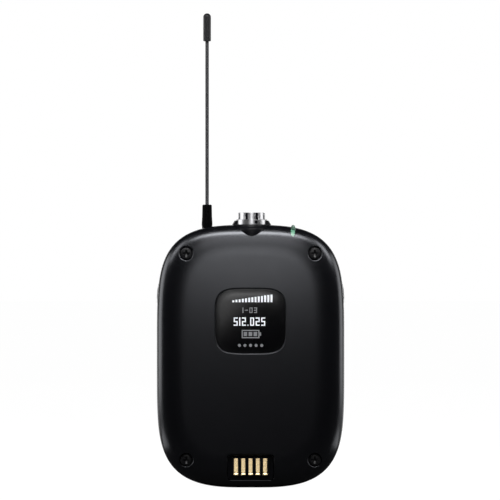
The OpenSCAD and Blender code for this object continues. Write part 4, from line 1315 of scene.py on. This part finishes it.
# Stage
def mix_in(tree, share, low, high):
    """Blend of two levels; each is a number or a socket."""
    node = add_node(tree, "Mix")
    for socket, value in ((MIX_FACTOR, share), (NUMBER_A, low), (NUMBER_B, high)):
        feed(tree, node.inputs[socket], value)
    return node.outputs[NUMBER_OUT]


def white_level(tree, source, white, room, ambient):
    """Strength of the white backdrop: full for the camera, and for metal and glass behind the object."""
    path = add_node(tree, "LightPath")
    reflected = add_node(tree, "Math")
    reflected.use_clamp = True
    feed(tree, reflected.inputs[0], path.outputs["Is Glossy Ray"])
    feed(tree, reflected.inputs[1], path.outputs["Is Transmission Ray"])
    y = add_node(tree, "SeparateXYZ", Vector=source).outputs["Y"]
    behind = add_node(tree, "MapRange", Value=y, From_Min=white[0], From_Max=white[1])
    behind.interpolation_type = "SMOOTHSTEP"
    mirrored = mix_in(tree, behind.outputs["Result"], room, 1.0)
    others = mix_in(tree, reflected.outputs[0], ambient, mirrored)
    return mix_in(tree, path.outputs["Is Camera Ray"], others, 1.0)


def floor():
    """Plain dark floor with the white backdrop's glow added."""
    net = bmesh.new()
    bmesh.ops.create_circle(net, cap_ends=True, segments=FLOOR_POINTS, radius=FLOOR_R)
    obj = to_object(net, "floor")
    material = bpy.data.materials.new("floor_white")
    material.use_nodes = True
    tree = material.node_tree
    tree.nodes.remove(tree.nodes["Principled BSDF"])
    diffuse = add_node(tree, "BsdfDiffuse", Color=(FLOOR_SHADE, FLOOR_SHADE, FLOOR_SHADE, 1))
    position = add_node(tree, "NewGeometry").outputs["Position"]
    scale = add_node(tree, "Math")
    scale.operation = "MULTIPLY"
    feed(tree, scale.inputs[0], white_level(tree, position, FLOOR_WHITE, 0.0, 0.0))
    feed(tree, scale.inputs[1], FLOOR_GLOW)
    glow = add_node(tree, "Emission", Strength=scale.outputs[0])
    add = add_node(tree, "AddShader")
    feed(tree, add.inputs[0], diffuse.outputs[0])
    feed(tree, add.inputs[1], glow.outputs[0])
    feed(tree, tree.nodes["Material Output"].inputs["Surface"], add.outputs[0])
    obj.data.materials.append(material)


def world():
    """White backdrop behind the object, in a dim room."""
    scene_world = bpy.data.worlds.new("studio")
    scene_world.use_nodes = True
    bpy.context.scene.world = scene_world
    tree = scene_world.node_tree
    background = tree.nodes["Background"]
    direction = add_node(tree, "TexCoord").outputs["Generated"]
    feed(tree, background.inputs["Color"], (1, 1, 1, 1))
    feed(tree, background.inputs["Strength"], white_level(tree, direction, ROOM_WHITE, ROOM, AMBIENT))


def softbox(name, at, target, size, power, spread=180, roll=0):
    """Area lamp aimed at a target and turned round its own axis."""
    lamp = bpy.data.lights.new(name, "AREA")
    lamp.shape = "RECTANGLE"
    lamp.size, lamp.size_y = size
    lamp.energy = power
    lamp.spread = math.radians(spread)
    obj = link(name, lamp)
    obj.location = at
    aim = (Vector(target) - Vector(at)).to_track_quat("-Z", "Y")
    obj.rotation_euler = (aim @ Quaternion((0, 0, 1), math.radians(roll))).to_euler()
    obj.visible_camera = False


def card(name, x, y, size, power):
    """Lamp just over the floor that shines up."""
    softbox(name, (x, y, CARD_Z), (x, y, 1), size, power)


def camera():
    """Camera in front, whose scale at the case's outline is the photograph's."""
    data = bpy.data.cameras.new("camera")
    data.sensor_width = SENSOR_W
    view_w = FRAME_PX / PX_PER_MM
    outline_y = FRONT_Y + FRONT_EDGE
    data.lens = SENSOR_W * (CAMERA_AWAY + outline_y) / view_w
    data.clip_start = CLIP_NEAR_M
    data.clip_end = CLIP_FAR_M
    obj = link("camera", data)
    middle_z = (PHOTO_BASE_PX - FRAME_PX / 2) / PX_PER_MM
    obj.location = Vector((CAMERA_X, -CAMERA_AWAY, middle_z)) * MM
    obj.rotation_euler = (math.pi / 2, 0, 0)
    bpy.context.scene.camera = obj


floor()
world()
softbox("top_light", (0, -0.18, 0.335), (0, 0.01, 0.11), size=(0.55, 0.06), power=0.31, spread=60)
for side, name, power in ((-1, "left_corner_light", 0.045), (1, "right_corner_light", 0.065)):
    softbox(name, (0.27 * side, -0.13, 0.29), (0, 0, 0.085), size=(0.10, 0.20), power=power, spread=60)
softbox("front_light", (0, -0.20, 0.104), (0, 0, 0.102), size=(0.065, 0.060), power=0.0074, spread=70)
softbox("upper_light", (0, -0.205, 0.22), (0, 0, 0.095), size=(0.14, 0.16), power=0.034, spread=70)
softbox("left_light", (-0.50, 0.03, 0.13), (0, 0, 0.05), size=(0.32, 0.40), power=0.45, spread=90)
softbox("right_light", (0.50, 0.05, 0.13), (0, 0, 0.05), size=(0.30, 0.40), power=0.33, spread=90)
softbox("window_light", (-0.080, -1.08, 0.072), (0, 0, 0.06), size=(0.10, 0.10), power=0.038, roll=45)
softbox("back_light", (0, 0.90, 0.20), (0, 0, 0.05), size=(1.2, 0.3), power=0.4, spread=90)
for side, name in ((-1, "left_card"), (1, "right_card")):
    card(name, CARD_X * side, CARD_Y, size=(0.36, 0.40), power=0.20)
    card(name + "_strip", STRIP_X * side, STRIP_Y, size=(0.07, 0.04), power=0.022)
softbox("contact_light", (0, -1.06, 0.14), (0, 0, 0.008), size=(0.12, 0.07), power=0.039)
camera()
bpy.context.scene.view_settings.view_transform = "Standard"
